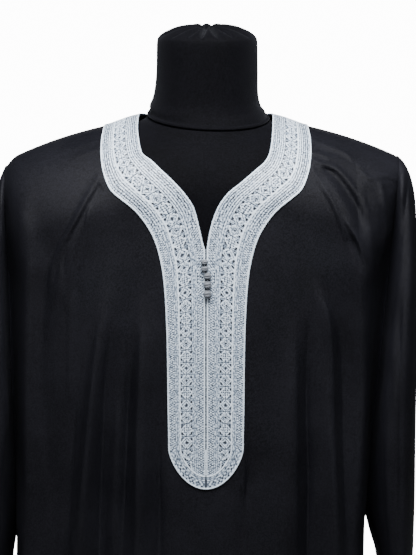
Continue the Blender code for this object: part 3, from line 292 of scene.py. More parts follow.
# Creases laid over the folds: height out of the cloth, width on the outer or upper side, on the
# inner or lower side, shares over which they rise and fade, then the places x, z they run through.
# They reach a few widths out, and hollows of middling width are pinched to a narrower V
CREASE_REACH = 4.0
PINCH_FROM = 0.0050
PINCH_TO = 0.0100
PINCH_SHARE = 0.8
FRONT_CREASES = (
    (0.0030, 0.0034, 0.0026, 0.03, 0.3,
     (-0.1254, 1.4316), (-0.1373, 1.4143), (-0.1469, 1.3990), (-0.1591, 1.3761), (-0.1715, 1.3539),
     (-0.1803, 1.3341), (-0.1866, 1.3168), (-0.1893, 1.2983), (-0.1908, 1.2737)),
    (-0.0022, 0.0022, 0.0040, 0.05, 0.25,
     (-0.1264, 1.4226), (-0.1347, 1.4075), (-0.1444, 1.3909), (-0.1542, 1.3739), (-0.1629, 1.3566),
     (-0.1704, 1.3369), (-0.1731, 1.3173), (-0.1733, 1.2904)),
    (0.0014, 0.0024, 0.0025, 0.15, 0.35,
     (-0.1383, 1.4028), (-0.1420, 1.3850), (-0.1446, 1.3608), (-0.1484, 1.3364), (-0.1523, 1.3120)),
    (-0.0007, 0.0030, 0.0030, 0.2, 0.3,
     (-0.1444, 1.3850), (-0.1494, 1.3607), (-0.1545, 1.3362), (-0.1583, 1.3203)),
    (0.0024, 0.0060, 0.0120, 0.45, 0.3,
     (-0.2200, 1.4100), (-0.2255, 1.3600), (-0.2280, 1.2950), (-0.2290, 1.2300), (-0.2270, 1.1500),
     (-0.2230, 1.0800), (-0.2200, 1.0000), (-0.2200, 0.9000)),
    (-0.0042, 0.0240, 0.0400, 0.5, 0.4,
     (-0.1750, 1.4400), (-0.1880, 1.3700), (-0.1940, 1.3000), (-0.1980, 1.2000), (-0.1990, 1.0800)),
    (-0.0014, 0.0120, 0.0160, 0.25, 0.4,
     (-0.2190, 1.4061), (-0.2110, 1.3857), (-0.1998, 1.3553), (-0.1890, 1.3240), (-0.1844, 1.2924)),
    (0.0012, 0.0045, 0.0060, 0.4, 0.4,
     (-0.2087, 1.3329), (-0.2164, 1.3155), (-0.2239, 1.2933), (-0.2279, 1.2724)),
    (-0.0026, 0.0090, 0.0160, 0.2, 0.4,
     (-0.1915, 1.3264), (-0.1957, 1.2796), (-0.1979, 1.2051), (-0.1964, 1.1299), (-0.1898, 1.0545),
     (-0.1834, 0.9595), (-0.1796, 0.8498)),
    (0.0020, 0.0035, 0.0060, 0.2, 0.3,
     (-0.1628, 1.2994), (-0.1659, 1.2191), (-0.1652, 1.1379)),
    (0.0085, 0.0055, 0.0130, 0.5, 0.35,
     (-0.1126, 1.3179), (-0.1177, 1.2922), (-0.1247, 1.2577), (-0.1323, 1.2179), (-0.1390, 1.1666),
     (-0.1444, 1.1162), (-0.1498, 1.0643), (-0.1540, 1.0135), (-0.1558, 0.9613), (-0.1645, 0.8382)),
    (-0.0030, 0.0100, 0.0060, 0.4, 0.35,
     (-0.1554, 1.2444), (-0.1588, 1.1558), (-0.1634, 1.0889), (-0.1681, 1.0115), (-0.1724, 0.9282),
     (-0.1800, 0.8236)),
    (-0.0080, 0.0070, 0.0065, 0.4, 0.35,
     (-0.1136, 1.2702), (-0.1189, 1.2183), (-0.1236, 1.1671), (-0.1266, 1.1081), (-0.1296, 1.0399),
     (-0.1327, 0.9561), (-0.1407, 0.8271)),
    (0.0018, 0.0055, 0.0055, 0.4, 0.35,
     (-0.1006, 1.2212), (-0.1053, 1.1588), (-0.1081, 1.1174), (-0.1111, 1.0406), (-0.1134, 0.9633),
     (-0.1191, 0.8543)),
    (-0.0080, 0.0075, 0.0055, 0.4, 0.35,
     (-0.0870, 1.2585), (-0.0922, 1.1965), (-0.0957, 1.1340), (-0.0992, 1.0586), (-0.1028, 0.9827),
     (-0.1079, 0.8549)),
    (0.0070, 0.0055, 0.0140, 0.4, 0.35,
     (-0.0763, 1.3039), (-0.0775, 1.2586), (-0.0787, 1.2191), (-0.0814, 1.1681), (-0.0836, 1.1180),
     (-0.0846, 1.0413), (-0.0856, 0.9641), (-0.0918, 0.8427)),
    (-0.0080, 0.0090, 0.0060, 0.5, 0.35,
     (-0.0595, 1.1596), (-0.0586, 1.0970), (-0.0570, 1.0342), (-0.0578, 0.9647), (-0.0644, 0.8436)),
    (0.0009, 0.0018, 0.0020, 0.2, 0.3,
     (-0.2127, 1.4398), (-0.2034, 1.4374), (-0.1928, 1.4338)),
    (0.0010, 0.0020, 0.0020, 0.05, 0.4,
     (-0.1280, 1.4605), (-0.1414, 1.4558), (-0.1537, 1.4520), (-0.1673, 1.4492)),
    (0.0010, 0.0020, 0.0020, 0.05, 0.4,
     (-0.1301, 1.4694), (-0.1448, 1.4647), (-0.1595, 1.4598), (-0.1769, 1.4547)),
    (-0.0009, 0.0020, 0.0020, 0.05, 0.4,
     (-0.1307, 1.4740), (-0.1454, 1.4694), (-0.1626, 1.4635), (-0.1801, 1.4583)),
    (0.0036, 0.0036, 0.0026, 0.02, 0.3,
     (0.1275, 1.4477), (0.1385, 1.4440), (0.1519, 1.4390), (0.1593, 1.4359), (0.1653, 1.4306),
     (0.1725, 1.4224), (0.1773, 1.4160), (0.1833, 1.4082), (0.1881, 1.4000), (0.1916, 1.3907),
     (0.1952, 1.3789), (0.1989, 1.3644), (0.2016, 1.3400), (0.2032, 1.2909)),
    (0.0034, 0.0030, 0.0090, 0.1, 0.35,
     (0.2009, 1.3522), (0.2032, 1.2909), (0.2041, 1.2388), (0.2030, 1.1825), (0.2001, 1.1270),
     (0.1977, 1.0700), (0.1941, 1.0140), (0.1894, 0.9367)),
    (-0.0050, 0.0034, 0.0060, 0.15, 0.35,
     (0.1383, 1.4407), (0.1480, 1.4359), (0.1577, 1.4277), (0.1661, 1.4183), (0.1733, 1.4076),
     (0.1818, 1.3945), (0.1879, 1.3801), (0.1929, 1.3632), (0.1967, 1.3425)),
    (0.0024, 0.0026, 0.0030, 0.02, 0.25,
     (0.1278, 1.4412), (0.1354, 1.4265), (0.1450, 1.4125), (0.1534, 1.3982), (0.1607, 1.3814),
     (0.1645, 1.3704), (0.1683, 1.3580), (0.1709, 1.3433)),
    (0.0030, 0.0030, 0.0025, 0.25, 0.35,
     (0.1620, 1.3873), (0.1694, 1.3762), (0.1744, 1.3675), (0.1807, 1.3586), (0.1857, 1.3486),
     (0.1907, 1.3363), (0.1957, 1.3253), (0.2007, 1.3130)),
    (-0.0042, 0.0025, 0.0050, 0.3, 0.45,
     (0.1707, 1.3628), (0.1770, 1.3552), (0.1820, 1.3452), (0.1859, 1.3352), (0.1884, 1.3241),
     (0.1910, 1.3093), (0.1925, 1.2884)),
    (-0.0008, 0.0025, 0.0040, 0.2, 0.3,
     (0.1305, 1.4289), (0.1388, 1.4127), (0.1485, 1.3973), (0.1546, 1.3828)),
    (0.0019, 0.0020, 0.0022, 0.02, 0.3,
     (0.1278, 1.4552), (0.1353, 1.4548), (0.1451, 1.4512), (0.1561, 1.4469)),
    (0.0023, 0.0022, 0.0024, 0.02, 0.25,
     (0.1291, 1.4708), (0.1400, 1.4658), (0.1522, 1.4611), (0.1645, 1.4563), (0.1730, 1.4516),
     (0.1789, 1.4471), (0.1863, 1.4440)),
    (-0.0010, 0.0018, 0.0020, 0.05, 0.4,
     (0.1306, 1.4726), (0.1467, 1.4683), (0.1603, 1.4640), (0.1736, 1.4576)),
    (-0.0012, 0.0025, 0.0025, 0.05, 0.3,
     (0.1294, 1.4603), (0.1454, 1.4564), (0.1615, 1.4513), (0.1761, 1.4441)),
    (-0.0010, 0.0015, 0.0018, 0.05, 0.4,
     (0.1289, 1.4509), (0.1387, 1.4483), (0.1509, 1.4434)),
    (0.0026, 0.0022, 0.0026, 0.15, 0.2,
     (0.1839, 1.4457), (0.1884, 1.4381), (0.1917, 1.4314), (0.1964, 1.4258), (0.2012, 1.4234),
     (0.2101, 1.4249), (0.2228, 1.4251), (0.2302, 1.4220), (0.2374, 1.4162), (0.2421, 1.4093)),
    (-0.0010, 0.0018, 0.0018, 0.3, 0.3,
     (0.1943, 1.4324), (0.2003, 1.4278), (0.2090, 1.4274), (0.2206, 1.4289)),
    (-0.0016, 0.0050, 0.0060, 0.3, 0.3,
     (0.1946, 1.4136), (0.2069, 1.4110), (0.2218, 1.4104), (0.2317, 1.4078)),
    (0.0021, 0.0025, 0.0025, 0.2, 0.3,
     (0.1890, 1.4271), (0.1890, 1.4115), (0.1906, 1.4000), (0.1935, 1.3883), (0.1970, 1.3741)),
    (0.0028, 0.0030, 0.0035, 0.15, 0.3,
     (0.2089, 1.4253), (0.2146, 1.4151), (0.2166, 1.4050), (0.2187, 1.3936), (0.2209, 1.3808),
     (0.2214, 1.3643), (0.2192, 1.3449), (0.2152, 1.3228), (0.2094, 1.2995)),
    (-0.0006, 0.0015, 0.0015, 0.2, 0.2,
     (0.1980, 1.4033), (0.2090, 1.4007), (0.2226, 1.4003)),
    (0.0080, 0.0045, 0.0100, 0.4, 0.35,
     (0.1270, 1.3146), (0.1357, 1.2960), (0.1419, 1.2810), (0.1476, 1.2648), (0.1521, 1.2374),
     (0.1551, 1.1937), (0.1570, 1.1295), (0.1598, 1.0723), (0.1627, 1.0032), (0.1641, 0.9388),
     (0.1680, 0.8208)),
    (-0.0060, 0.0080, 0.0055, 0.3, 0.35,
     (0.1580, 1.2680), (0.1647, 1.2181), (0.1679, 1.1565), (0.1702, 1.0715), (0.1744, 0.9764),
     (0.1805, 0.8452)),
    (-0.0090, 0.0070, 0.0060, 0.4, 0.3,
     (0.1285, 1.2754), (0.1239, 1.2324), (0.1227, 1.1589), (0.1244, 1.1023), (0.1261, 1.0466),
     (0.1255, 0.9614), (0.1270, 0.8390)),
    (0.0070, 0.0050, 0.0140, 0.4, 0.35,
     (0.1016, 1.2824), (0.1068, 1.2330), (0.1090, 1.1870), (0.1100, 1.1319), (0.1104, 1.0752),
     (0.1109, 1.0069), (0.1107, 0.9432), (0.1119, 0.8404)),
    (-0.0060, 0.0100, 0.0065, 0.4, 0.35,
     (0.0525, 1.1346), (0.0526, 1.0844), (0.0503, 1.0467), (0.0467, 1.0090), (0.0431, 0.9584),
     (0.0397, 0.8439)),
    (-0.0060, 0.0200, 0.0300, 0.3, 0.4,
     (0.1800, 1.3300), (0.1800, 1.2500), (0.1790, 1.1600), (0.1770, 1.0500)),
    (-0.0005, 0.0035, 0.0035, 0.4, 0.4, (-0.228, 1.164), (-0.207, 1.168), (-0.178, 1.164)),
    (-0.0009, 0.0030, 0.0030, 0.25, 0.3, (-0.230, 1.060), (-0.218, 1.063), (-0.206, 1.060)),
    (0.0009, 0.0030, 0.0030, 0.25, 0.3, (-0.210, 1.058), (-0.214, 1.046), (-0.216, 1.033)),
    (0.0012, 0.0035, 0.0035, 0.25, 0.3, (0.007, 1.040), (0.025, 1.036), (0.044, 1.032)),
    (-0.0012, 0.0040, 0.0040, 0.25, 0.3, (0.015, 1.034), (0.032, 1.025), (0.049, 1.023)),
)
BACK_CREASES = (
    (0.0020, 0.0080, 0.0080, 0.25, 0.3, (-0.185, 1.446), (-0.150, 1.400), (-0.120, 1.340)),
    (0.0018, 0.0085, 0.0085, 0.25, 0.3, (-0.150, 1.420), (-0.158, 1.330), (-0.164, 1.220)),
    (-0.0016, 0.0090, 0.0090, 0.25, 0.3, (-0.098, 1.380), (-0.104, 1.280), (-0.100, 1.120)),
    (0.0014, 0.0090, 0.0090, 0.25, 0.3, (-0.040, 1.360), (-0.036, 1.240), (-0.044, 1.080)),
    (0.0014, 0.0090, 0.0090, 0.25, 0.3, (0.020, 1.370), (0.014, 1.250), (0.020, 1.090)),
    (-0.0016, 0.0085, 0.0085, 0.25, 0.3, (0.070, 1.380), (0.078, 1.270), (0.072, 1.100)),
    (0.0020, 0.0080, 0.0080, 0.25, 0.3, (0.180, 1.440), (0.152, 1.395), (0.128, 1.330)),
    (0.0018, 0.0085, 0.0085, 0.25, 0.3, (0.146, 1.410), (0.156, 1.320), (0.158, 1.200)),
    (-0.0010, 0.0035, 0.0035, 0.25, 0.3, (-0.200, 1.165), (-0.172, 1.168), (-0.140, 1.163)),
    (-0.0010, 0.0035, 0.0035, 0.25, 0.3, (0.120, 1.062), (0.150, 1.066), (0.176, 1.061)),
)
# Sleeve creases: the same, through places given by tenths of a ring and turn, with widths in degrees
RING_TENTHS = 10.0
SLEEVE_CREASES = {
    "right": (
        (0.0010, 14.0, 14.0, 0.5, 0.3, (5.0, 40.0), (30.0, 52.0), (95.0, 60.0)),
        (-0.0026, 8.0, 8.0, 0.25, 0.3, (10.0, 70.0), (40.0, 84.0), (100.0, 92.0)),
        (0.0032, 9.0, 9.0, 0.25, 0.3, (5.0, 100.0), (40.0, 112.0), (105.0, 118.0)),
        (-0.0020, 7.0, 7.0, 0.25, 0.3, (10.0, 20.0), (40.0, 26.0), (90.0, 30.0)),
        (0.0032, 9.0, 9.0, 0.25, 0.3, (5.0, 250.0), (30.0, 262.0), (100.0, 270.0)),
        (-0.0026, 9.0, 9.0, 0.25, 0.3, (10.0, 290.0), (40.0, 300.0), (105.0, 306.0)),
        (0.0026, 8.0, 8.0, 0.25, 0.3, (5.0, 325.0), (40.0, 330.0), (95.0, 334.0)),
        (-0.0012, 5.0, 5.0, 0.25, 0.3, (70.0, 10.0), (74.0, 35.0), (70.0, 60.0)),
    ),
    "left": (
        (0.0026, 8.0, 8.0, 0.25, 0.3, (5.0, 36.0), (40.0, 46.0), (100.0, 52.0)),
        (-0.0026, 8.0, 8.0, 0.25, 0.3, (10.0, 66.0), (40.0, 76.0), (100.0, 84.0)),
        (0.0030, 9.0, 9.0, 0.25, 0.3, (5.0, 96.0), (40.0, 106.0), (105.0, 114.0)),
        (0.0030, 9.0, 9.0, 0.25, 0.3, (5.0, 246.0), (30.0, 256.0), (100.0, 262.0)),
        (-0.0026, 9.0, 9.0, 0.25, 0.3, (10.0, 282.0), (40.0, 292.0), (105.0, 300.0)),
        (0.0028, 8.0, 8.0, 0.25, 0.3, (5.0, 318.0), (40.0, 324.0), (95.0, 330.0)),
        (-0.0012, 5.0, 5.0, 0.25, 0.3, (82.0, 8.0), (86.0, 30.0), (82.0, 55.0)),
    ),
}

# Knotted buttons: x, z, half width, half height
BUTTONS = (
    (-0.0018, 1.3304, 0.0046, 0.0034),
    (-0.0016, 1.3226, 0.0047, 0.0037),
    (0.0019, 1.3134, 0.0048, 0.0044),
    (0.0019, 1.3027, 0.0049, 0.0051),
    (0.0019, 1.2913, 0.0049, 0.0052),
)
BUTTON_HALF_DEPTH = 0.0042
BUTTON_SEAT = 0.0026
BUTTON_FLAT = 0.0006
# Cords of a knot, depth of the grooves between them, which are also painted with shade, twist of the cords,
# and the middle shade painted on the knot's two ends
BUTTON_CORDS = 6
CORD_GROOVE = 0.30
CORD_TWIST = 0.10
END_SHADE = 0.6

# Dress form: how far its shoulders lie under and inside the robe, the share of their lean that grows
# on the way out, the lowest shoulder ring's share of the joining ring's height, the shoulder rings by
# their share of the way out, then torso sections (height, half width, front depth, back depth)
FORM_SINK = 0.0022
FORM_NECK_INSET = 0.001
FORM_LEAN = 0.30
FORM_JOIN = 0.45
FORM_INSET = 0.0095
FORM_SHOULDER = 0.190
FORM_END_START = 0.130
FORM_END_INSET = 0.034
FORM_SHARES = (0.0, 0.16, 0.36, 0.58, 0.80, 1.0)
FORM_LEVELS = np.array((
    (0.800, 0.146, 0.088, 0.096),
    (0.806, 0.154, 0.095, 0.103),
    (0.860, 0.160, 0.100, 0.108),
    (0.950, 0.156, 0.102, 0.106),
    (1.060, 0.143, 0.101, 0.096),
    (1.150, 0.150, 0.108, 0.098),
    (1.250, 0.164, 0.117, 0.103),
    (1.330, 0.174, 0.119, 0.104),
))
# Neck: its foot ring, the cover's slant and sideways shift, and its rolled hem
NECK_FOOT_HALF = 0.0740
NECK_FOOT_DEPTH = 0.0725
NECK_FOOT_HEIGHT = 1.4907
NECK_FOOT_TILT = 0.12
NECK_SIDE_TILT = -0.040
NECK_FOOT_SHIFT = 0.0030
NECK_TOP_SHIFT = 0.0015
NECK_TILT_SPAN = 0.090
NECK_HEM = 0.0046
NECK_HEM_SPAN = 0.012
NECK_TOP = 0.015
NECK_TOP_SPAN = 0.050
# Neck cover: height above the foot line, half width, half depth
NECK_COVER = np.array((
    (0.0002, 0.0716, 0.0697),
    (0.0004, 0.0752, 0.0733),
    (0.0020, 0.0765, 0.0745),
    (0.0038, 0.0758, 0.0738),
    (0.0049, 0.0730, 0.0708),
    (0.0105, 0.0719, 0.0674),
    (0.0180, 0.0682, 0.0642),
    (0.0260, 0.0658, 0.0622),
    (0.0400, 0.0640, 0.0608),
    (0.0640, 0.0631, 0.0600),
    (0.0900, 0.0627, 0.0597),
))
# Gathered cap: height, radius share, depth of the pleats
NECK_CAP = np.array((
    (1.5885, 0.985, 0.0002),
    (1.5932, 0.930, 0.0010),
    (1.5982, 0.780, 0.0036),
    (1.6018, 0.560, 0.0050),
    (1.6036, 0.340, 0.0050),
    (1.6026, 0.200, 0.0030),
    (1.6002, 0.110, 0.0008),
    (1.5990, 0.030, 0.0),
))
# Pleats of the cap, each a sharp hollow: turn in degrees, width in degrees, share of the depth
CAP_PLEATS = (
    (8.0, 6.0, 1.2), (41.0, 5.0, 1.5), (75.0, 6.0, 1.3), (108.0, 5.0, 1.6), (140.0, 6.0, 1.2),
    (171.0, 6.0, 1.5), (198.0, 8.0, 1.4), (223.0, 7.0, 1.9), (246.0, 6.0, 1.6), (263.0, 5.5, 2.2),
    (283.0, 5.5, 2.2), (303.0, 6.5, 1.8), (330.0, 8.0, 1.7),
)

# Embroidery, in millimetres from the band's outer edge
EDGE_CORD = 2.0
OUTER_ROWS_END = 9.4
SATIN_END = 14.2
RIDGE_END = 16.4
LATTICE_END = 30.2
PLAIN_END = 37.2
INNER_ROWS_END = 44.4
BAND_WIDTH = 46.5
STITCH_PITCH = 3.0
DIAMOND_LENGTH = 15.4
# Relief above which the painted highlight on the cords grows no brighter
RELIEF_TOP = 1.1

# Lattice, in millimetres: pitches of the grid of holes, of the slanting stitches and of the sides, half
# length and half width of a hole, half width of a crossing cord; then the side holes' share of the width
GRID_DOWN = 2.8
GRID_OVER = 2.6
SLANT_PITCH = 2.6
SIDE_PITCH = 2.2
HOLE_LONG = 0.95
HOLE_WIDE = 0.90
CORD_HALF = 0.80
SIDE_HOLES = 0.44

# Cloths: dark and light tone, roughness, scale of the weave, depth of its bump, sheen, specular level;
# then how much the slow patches change the tone and the gloss
CREPE = ((0.0021, 0.0022, 0.0037), (0.0088, 0.0090, 0.0128), 0.57, 900.0, 0.00012, 0.0080, 0.122)
JERSEY = ((0.0006, 0.0006, 0.0011), (0.0028, 0.0028, 0.0042), 0.66, 620.0, 0.00016, 0.040, 0.040)
PATCHES = 1.3
GLOSS_RANGE = 0.05

# Silks: places on the ramp and their colours, from painted shade in the hollows up to the cords' tops,
# which the silver paints as highlight, and how many threads' flecks go to a metre
SILVER_TONES_AND_SHADE = ((0.20, (0.024, 0.028, 0.038)), (0.42, (0.13, 0.17, 0.23)), (0.62, (0.36, 0.44, 0.55)),
                (0.90, (0.78, 0.89, 1.00)))
CORD_TONES_AND_SHADE = ((0.15, (0.012, 0.013, 0.017)), (1.0, (0.15, 0.165, 0.19)))
THREAD_SCALE = (430.0, 520.0, 1.0)

# Studio: light from all round, the white that the camera sees, half the floor's breadth, and the
# lights by name, place, aim, size and power
WORLD_GLOW = 0.035
WORLD_SHOWN = 13.5
FLOOR_HALF = 2.3
LIGHTS = (
    ("softbox above", (0.0, -0.68, 2.45), (0.0, -0.1, 1.40), (0.8, 0.5), 56.0),
    ("softbox front", (0.0, -1.5, 2.1), (0.0, -0.1, 1.25), (0.6, 0.5), 6.0),
    ("softbox left", (-2.2, -1.8, 2.2), (0.0, 0.0, 1.2), (0.9, 2.0), 0.5),
    ("softbox right", (2.2, -1.8, 2.2), (0.0, 0.0, 1.2), (0.9, 2.0), 0.5),
    ("softbox behind", (0.0, 3.0, 1.2), (0.0, 0.0, 1.0), (2.0, 1.4), 20.0),
)


def smooth_step(share):
    """Eases from 0 to 1: three squares less two cubes."""
    share = np.clip(share, 0.0, 1.0)
    return share * share * (3.0 - 2.0 * share)


def between(start, end, share):
    """The value a share of the way from a start to an end."""
    return start + (end - start) * share


def bell(*offsets):
    """A bell that is 1 in its middle, from pairs of a distance and a width."""
    return np.exp(-sum((distance / width) ** 2 for distance, width in offsets))


def crossed(rows, columns):
    """Marks down a grid and marks across it, ready to be worked out together."""
    return np.asarray(rows, dtype=float)[:, None], np.asarray(columns, dtype=float)[None, :]


def placed(side, x, y, z):
    """Points from x in half space, y and z, on their side of the robe."""
    return np.stack((SIDE_SIGN[side] * x, y, z), axis=-1)


def share_of(value, start, end):
    """Share of the way from a start to an end that a value has gone, from 0 to 1."""
    return np.clip((value - start) / (end - start), 0.0, 1.0)


def locate(knots, at):
    """Places kept within the knots, and the number of the gap between knots that each lies in."""
    at = np.clip(at, knots[0], knots[-1])
    return at, np.clip(np.searchsorted(knots, at, side="right") - 1, 0, len(knots) - 2)


def smooth_curve(knots, values):
    """The natural cubic curve through values at knots, as a function of an array."""
    knots = np.asarray(knots, dtype=float)
    values = np.asarray(values, dtype=float)
    gaps = np.diff(knots)
    count = len(knots)
    system = np.eye(count)
    pull = np.zeros(count)
    for k in range(1, count - 1):
        system[k, k - 1:k + 2] = (gaps[k - 1], 2.0 * (gaps[k - 1] + gaps[k]), gaps[k])
        pull[k] = 6.0 * ((values[k + 1] - values[k]) / gaps[k] - (values[k] - values[k - 1]) / gaps[k - 1])
    bends = np.linalg.solve(system, pull)

    def curve(at):
        at, k = locate(knots, at)
        gap = gaps[k]
        past = at - knots[k]
        left = knots[k + 1] - at
        bend = (bends[k] * left**3 + bends[k + 1] * past**3) / (6.0 * gap)
        line = (values[k] / gap - bends[k] * gap / 6.0) * left
        return bend + line + (values[k + 1] / gap - bends[k + 1] * gap / 6.0) * past

    return curve


def tame_curve(knots, values):
    """A cubic curve through values at knots that never swings past its neighbours."""
    knots = np.asarray(knots, dtype=float)
    values = np.asarray(values, dtype=float)
    gaps = np.diff(knots)
    rises = np.diff(values) / gaps
    slopes = np.zeros(len(knots))
    slopes[[0, -1]] = rises[[0, -1]]
    same_way = np.nonzero(rises[:-1] * rises[1:] > 0.0)[0]
    first = 2.0 * gaps[same_way + 1] + gaps[same_way]
    second = gaps[same_way + 1] + 2.0 * gaps[same_way]
    slopes[same_way + 1] = (first + second) / (first / rises[same_way] + second / rises[same_way + 1])

    def curve(at):
        at, k = locate(knots, at)
        gap = gaps[k]
        share = (at - knots[k]) / gap
        rest = 1.0 - share
        start = values[k] * (1.0 + 2.0 * share) * rest**2 + slopes[k] * gap * share * rest**2
        end = values[k + 1] * share**2 * (3.0 - 2.0 * share) - slopes[k + 1] * gap * share**2 * rest
        return start + end

    return curve


BODY_HALF = {
    "right": smooth_curve(BODY_LEVELS[:, 0], BODY_LEVELS[:, 1]),
    "left": smooth_curve(BODY_LEVELS[:, 0], BODY_LEVELS[:, 2]),
}
BODY_DEPTH = {
    "front": smooth_curve(BODY_LEVELS[:, 0], BODY_LEVELS[:, 3]),
    "back": smooth_curve(BODY_LEVELS[:, 0], BODY_LEVELS[:, 4]),
}
SIDE_SIGN = {"right": 1.0, "left": -1.0}


def shoulder_line(x):
    """Height of the shoulders at x: a slope, a cubic fall and a rounder tip."""
    x = np.abs(x)
    tip = np.maximum(0.0, x - TIP_START)
    return NECK_POINT_HEIGHT - SHOULDER_FALL * x - SHOULDER_CURVE * x**3 - TIP_CURVE * tip**2


def ridge(x):
    """Height of the robe's shoulder line at x: the shoulders, with a small rise at the neck."""
    return shoulder_line(x) + NECK_RISE * smooth_step((RISE_END - np.abs(x)) / RISE_SPAN)


def arch(x, z):
    """Share of the full depth reached at height z: a quarter circle down from the shoulder line."""
    left = 1.0 - np.clip((ridge(x) - z) / ARCH_DROP, 0.0, 1.0)
    return np.sqrt(1.0 - left * left)


def skirt_share(z):
    """Share of the hem's shape that a height below the chest has."""
    return smooth_step((SKIRT_TOP - z) / SKIRT_EASE)


def face_half(side, z):
    """Half breadth of the front or back face at height z, up to the turn beside it."""
    return BODY_HALF[side](z) - TURN - (HEM_TURN - TURN) * skirt_share(z)


def face_depth(side, face, x, z):
    """Depth of the full face: its middle depth, less a power of x over the half breadth."""
    edge = between(EDGE_SHARE, HEM_EDGE_SHARE, skirt_share(z))
    share = np.abs(x) / face_half(side, z)
    return BODY_DEPTH[face](z) * (1.0 - (1.0 - edge) * share**FACE_POWER)


def fold_height(folds, x, z):
    """Sum of the folds: each a bell across its path, with width and height set along it. A ridge is
    narrower on its outer side and a hollow on its inner side, as cloth hangs from the shoulders."""
    total = np.zeros(np.broadcast(x, z).shape)
    marks = (0.0, 0.25, 1.0)
    for top, bottom, x_top, x_quarter, x_bottom, w_top, w_bottom, h_quarter, h_bottom in folds:
        share = (top - z) / (top - bottom)
        inside = (share >= 0.0) & (share <= 1.0)
        share = np.clip(share, 0.0, 1.0)
        off = x - smooth_curve(marks, (x_top, x_quarter, x_bottom))(share)
        height = smooth_curve(marks, (0.0, h_quarter, h_bottom))(share)
        outer = off * math.copysign(1.0, x_quarter * h_quarter) > 0.0
        width = between(w_top, w_bottom, share) * np.where(outer, 1.0 - FOLD_LEAN, 1.0 + FOLD_LEAN)
        total = total + inside * height * bell((off, width))
    return total


def crease_height(creases, x, z):
    """Sum of the creases: each a bell round a smooth path, with its own width on either side of it, and
    eased in and out along it. Hollows five to ten millimetres wide are pinched to a V."""
    total = np.zeros(x.shape)
    for height, outer, inner, ease_in, ease_out, *places in creases:
        path = np.array(places)
        side = 1.0 if path[0, 0] >= 0.0 else -1.0
        marks = np.arange(len(path))
        fine = np.linspace(0.0, marks[-1], 8 * marks[-1] + 1)
        path_x = side * smooth_curve(marks, path[:, 0])(fine)
        path_z = smooth_curve(marks, path[:, 1])(fine)
        reach = CREASE_REACH * max(outer, inner)
        near = (side * x > path_x.min() - reach) & (side * x < path_x.max() + reach)
        near = near & (z > path_z.min() - reach) & (z < path_z.max() + reach)
        here_x = side * x[near]
        here_z = z[near]
        nearest = np.full(here_x.shape, np.inf)
        place = np.zeros(here_x.shape)
        width = np.full(here_x.shape, outer)
        for k in range(len(fine) - 1):
            along_x = path_x[k + 1] - path_x[k]
            along_z = path_z[k + 1] - path_z[k]
            off_x = here_x - path_x[k]
            off_z = here_z - path_z[k]
            share = np.clip((off_x * along_x + off_z * along_z) / (along_x**2 + along_z**2), 0.0, 1.0)
            gap = (off_x - share * along_x) ** 2 + (off_z - share * along_z) ** 2
            closer = gap < nearest
            nearest = np.where(closer, gap, nearest)
            place = np.where(closer, (k + share) / (len(fine) - 1), place)
            beside = np.where(along_x * off_z - along_z * off_x > 0.0, outer, inner)
            width = np.where(closer, beside, width)
        ease = smooth_step(place / ease_in) * smooth_step((1.0 - place) / ease_out)
        pinched = height < 0.0 and min(outer, inner) >= PINCH_FROM and max(outer, inner) <= PINCH_TO
        across = np.sqrt(nearest) / (PINCH_SHARE * width) if pinched else nearest / width**2
        total[near] += height * ease * np.exp(-across)
    return total


def soft_waves(x, z, seed):
    """Slow uneven swell of hanging cloth: a few crossing sine waves, longer down than across."""
    total = np.zeros(np.broadcast(x, z).shape)
    for across, down, start, size in WAVES:
        total += size * np.sin(across * x + down * z + start + seed)
    return total


def seam_share(turn):
    """Share of the seam's half depth at a turn in degrees: the table over the shoulder, then a sine."""
    turn = np.abs(np.asarray(turn, dtype=float))
    turn = np.where(turn > 180.0, 360.0 - turn, turn)
    return np.where(turn < 90.0, smooth_curve(SEAM_TURNS, SEAM_SHARES)(turn), np.sin(np.radians(turn)))


def oval_place(top, under, along):
    """A place on an oval from its top's value to its underarm's, by the cosine of the turn."""
    return (top + under) / 2.0 + (top - under) / 2.0 * along


def armhole(side, turn):
    """Point of the armhole seam in half space (x, depth, z) at a turn in degrees from its top."""
    top_x, top_z, under_x, under_z, half_depth = SLEEVES[side][0][1:]
    along = np.cos(np.radians(turn))
    x, z = [oval_place(top, under, along) for top, under in ((top_x, under_x), (top_z, under_z))]
    return x, half_depth * seam_share(turn), z


def seam_point(side, turn, lower):
    """Outer seam of a row: the armhole down to the underarm, then the side seam to the hem."""
    x, depth, z = armhole(side, turn)
    section = SLEEVES[side][0]
    z = z + (HEM - section[4]) * lower
    below = BODY_HALF[side](z) + (section[3] - BODY_HALF[side](section[4]))
    return np.where(lower > 0.0, below, x), np.where(lower > 0.0, 0.0, depth), z


def seam_height(start_x, start_z, seam, x, share=None):
    """Height between a start and the seam: straight low down, laid over the shoulder line higher up."""
    along = (x - start_x) / np.maximum(seam[0] - start_x, 1e-6)
    straight = between(start_z, seam[2], along if share is None else share)
    draped = ridge(x) - between(ridge(start_x) - start_z, ridge(seam[0]) - seam[2], along)
    return between(straight, draped, smooth_step((seam[2] - DRAPE_LOW) / DRAPE_SPAN))


def bezier(share, *values):
    """The cubic Bezier curve through the first of four values to the last."""
    rest = 1.0 - share
    weights = (rest**3, 3.0 * share * rest**2, 3.0 * share**2 * rest, share**3)
    return sum(weight * value for weight, value in zip(weights, values))


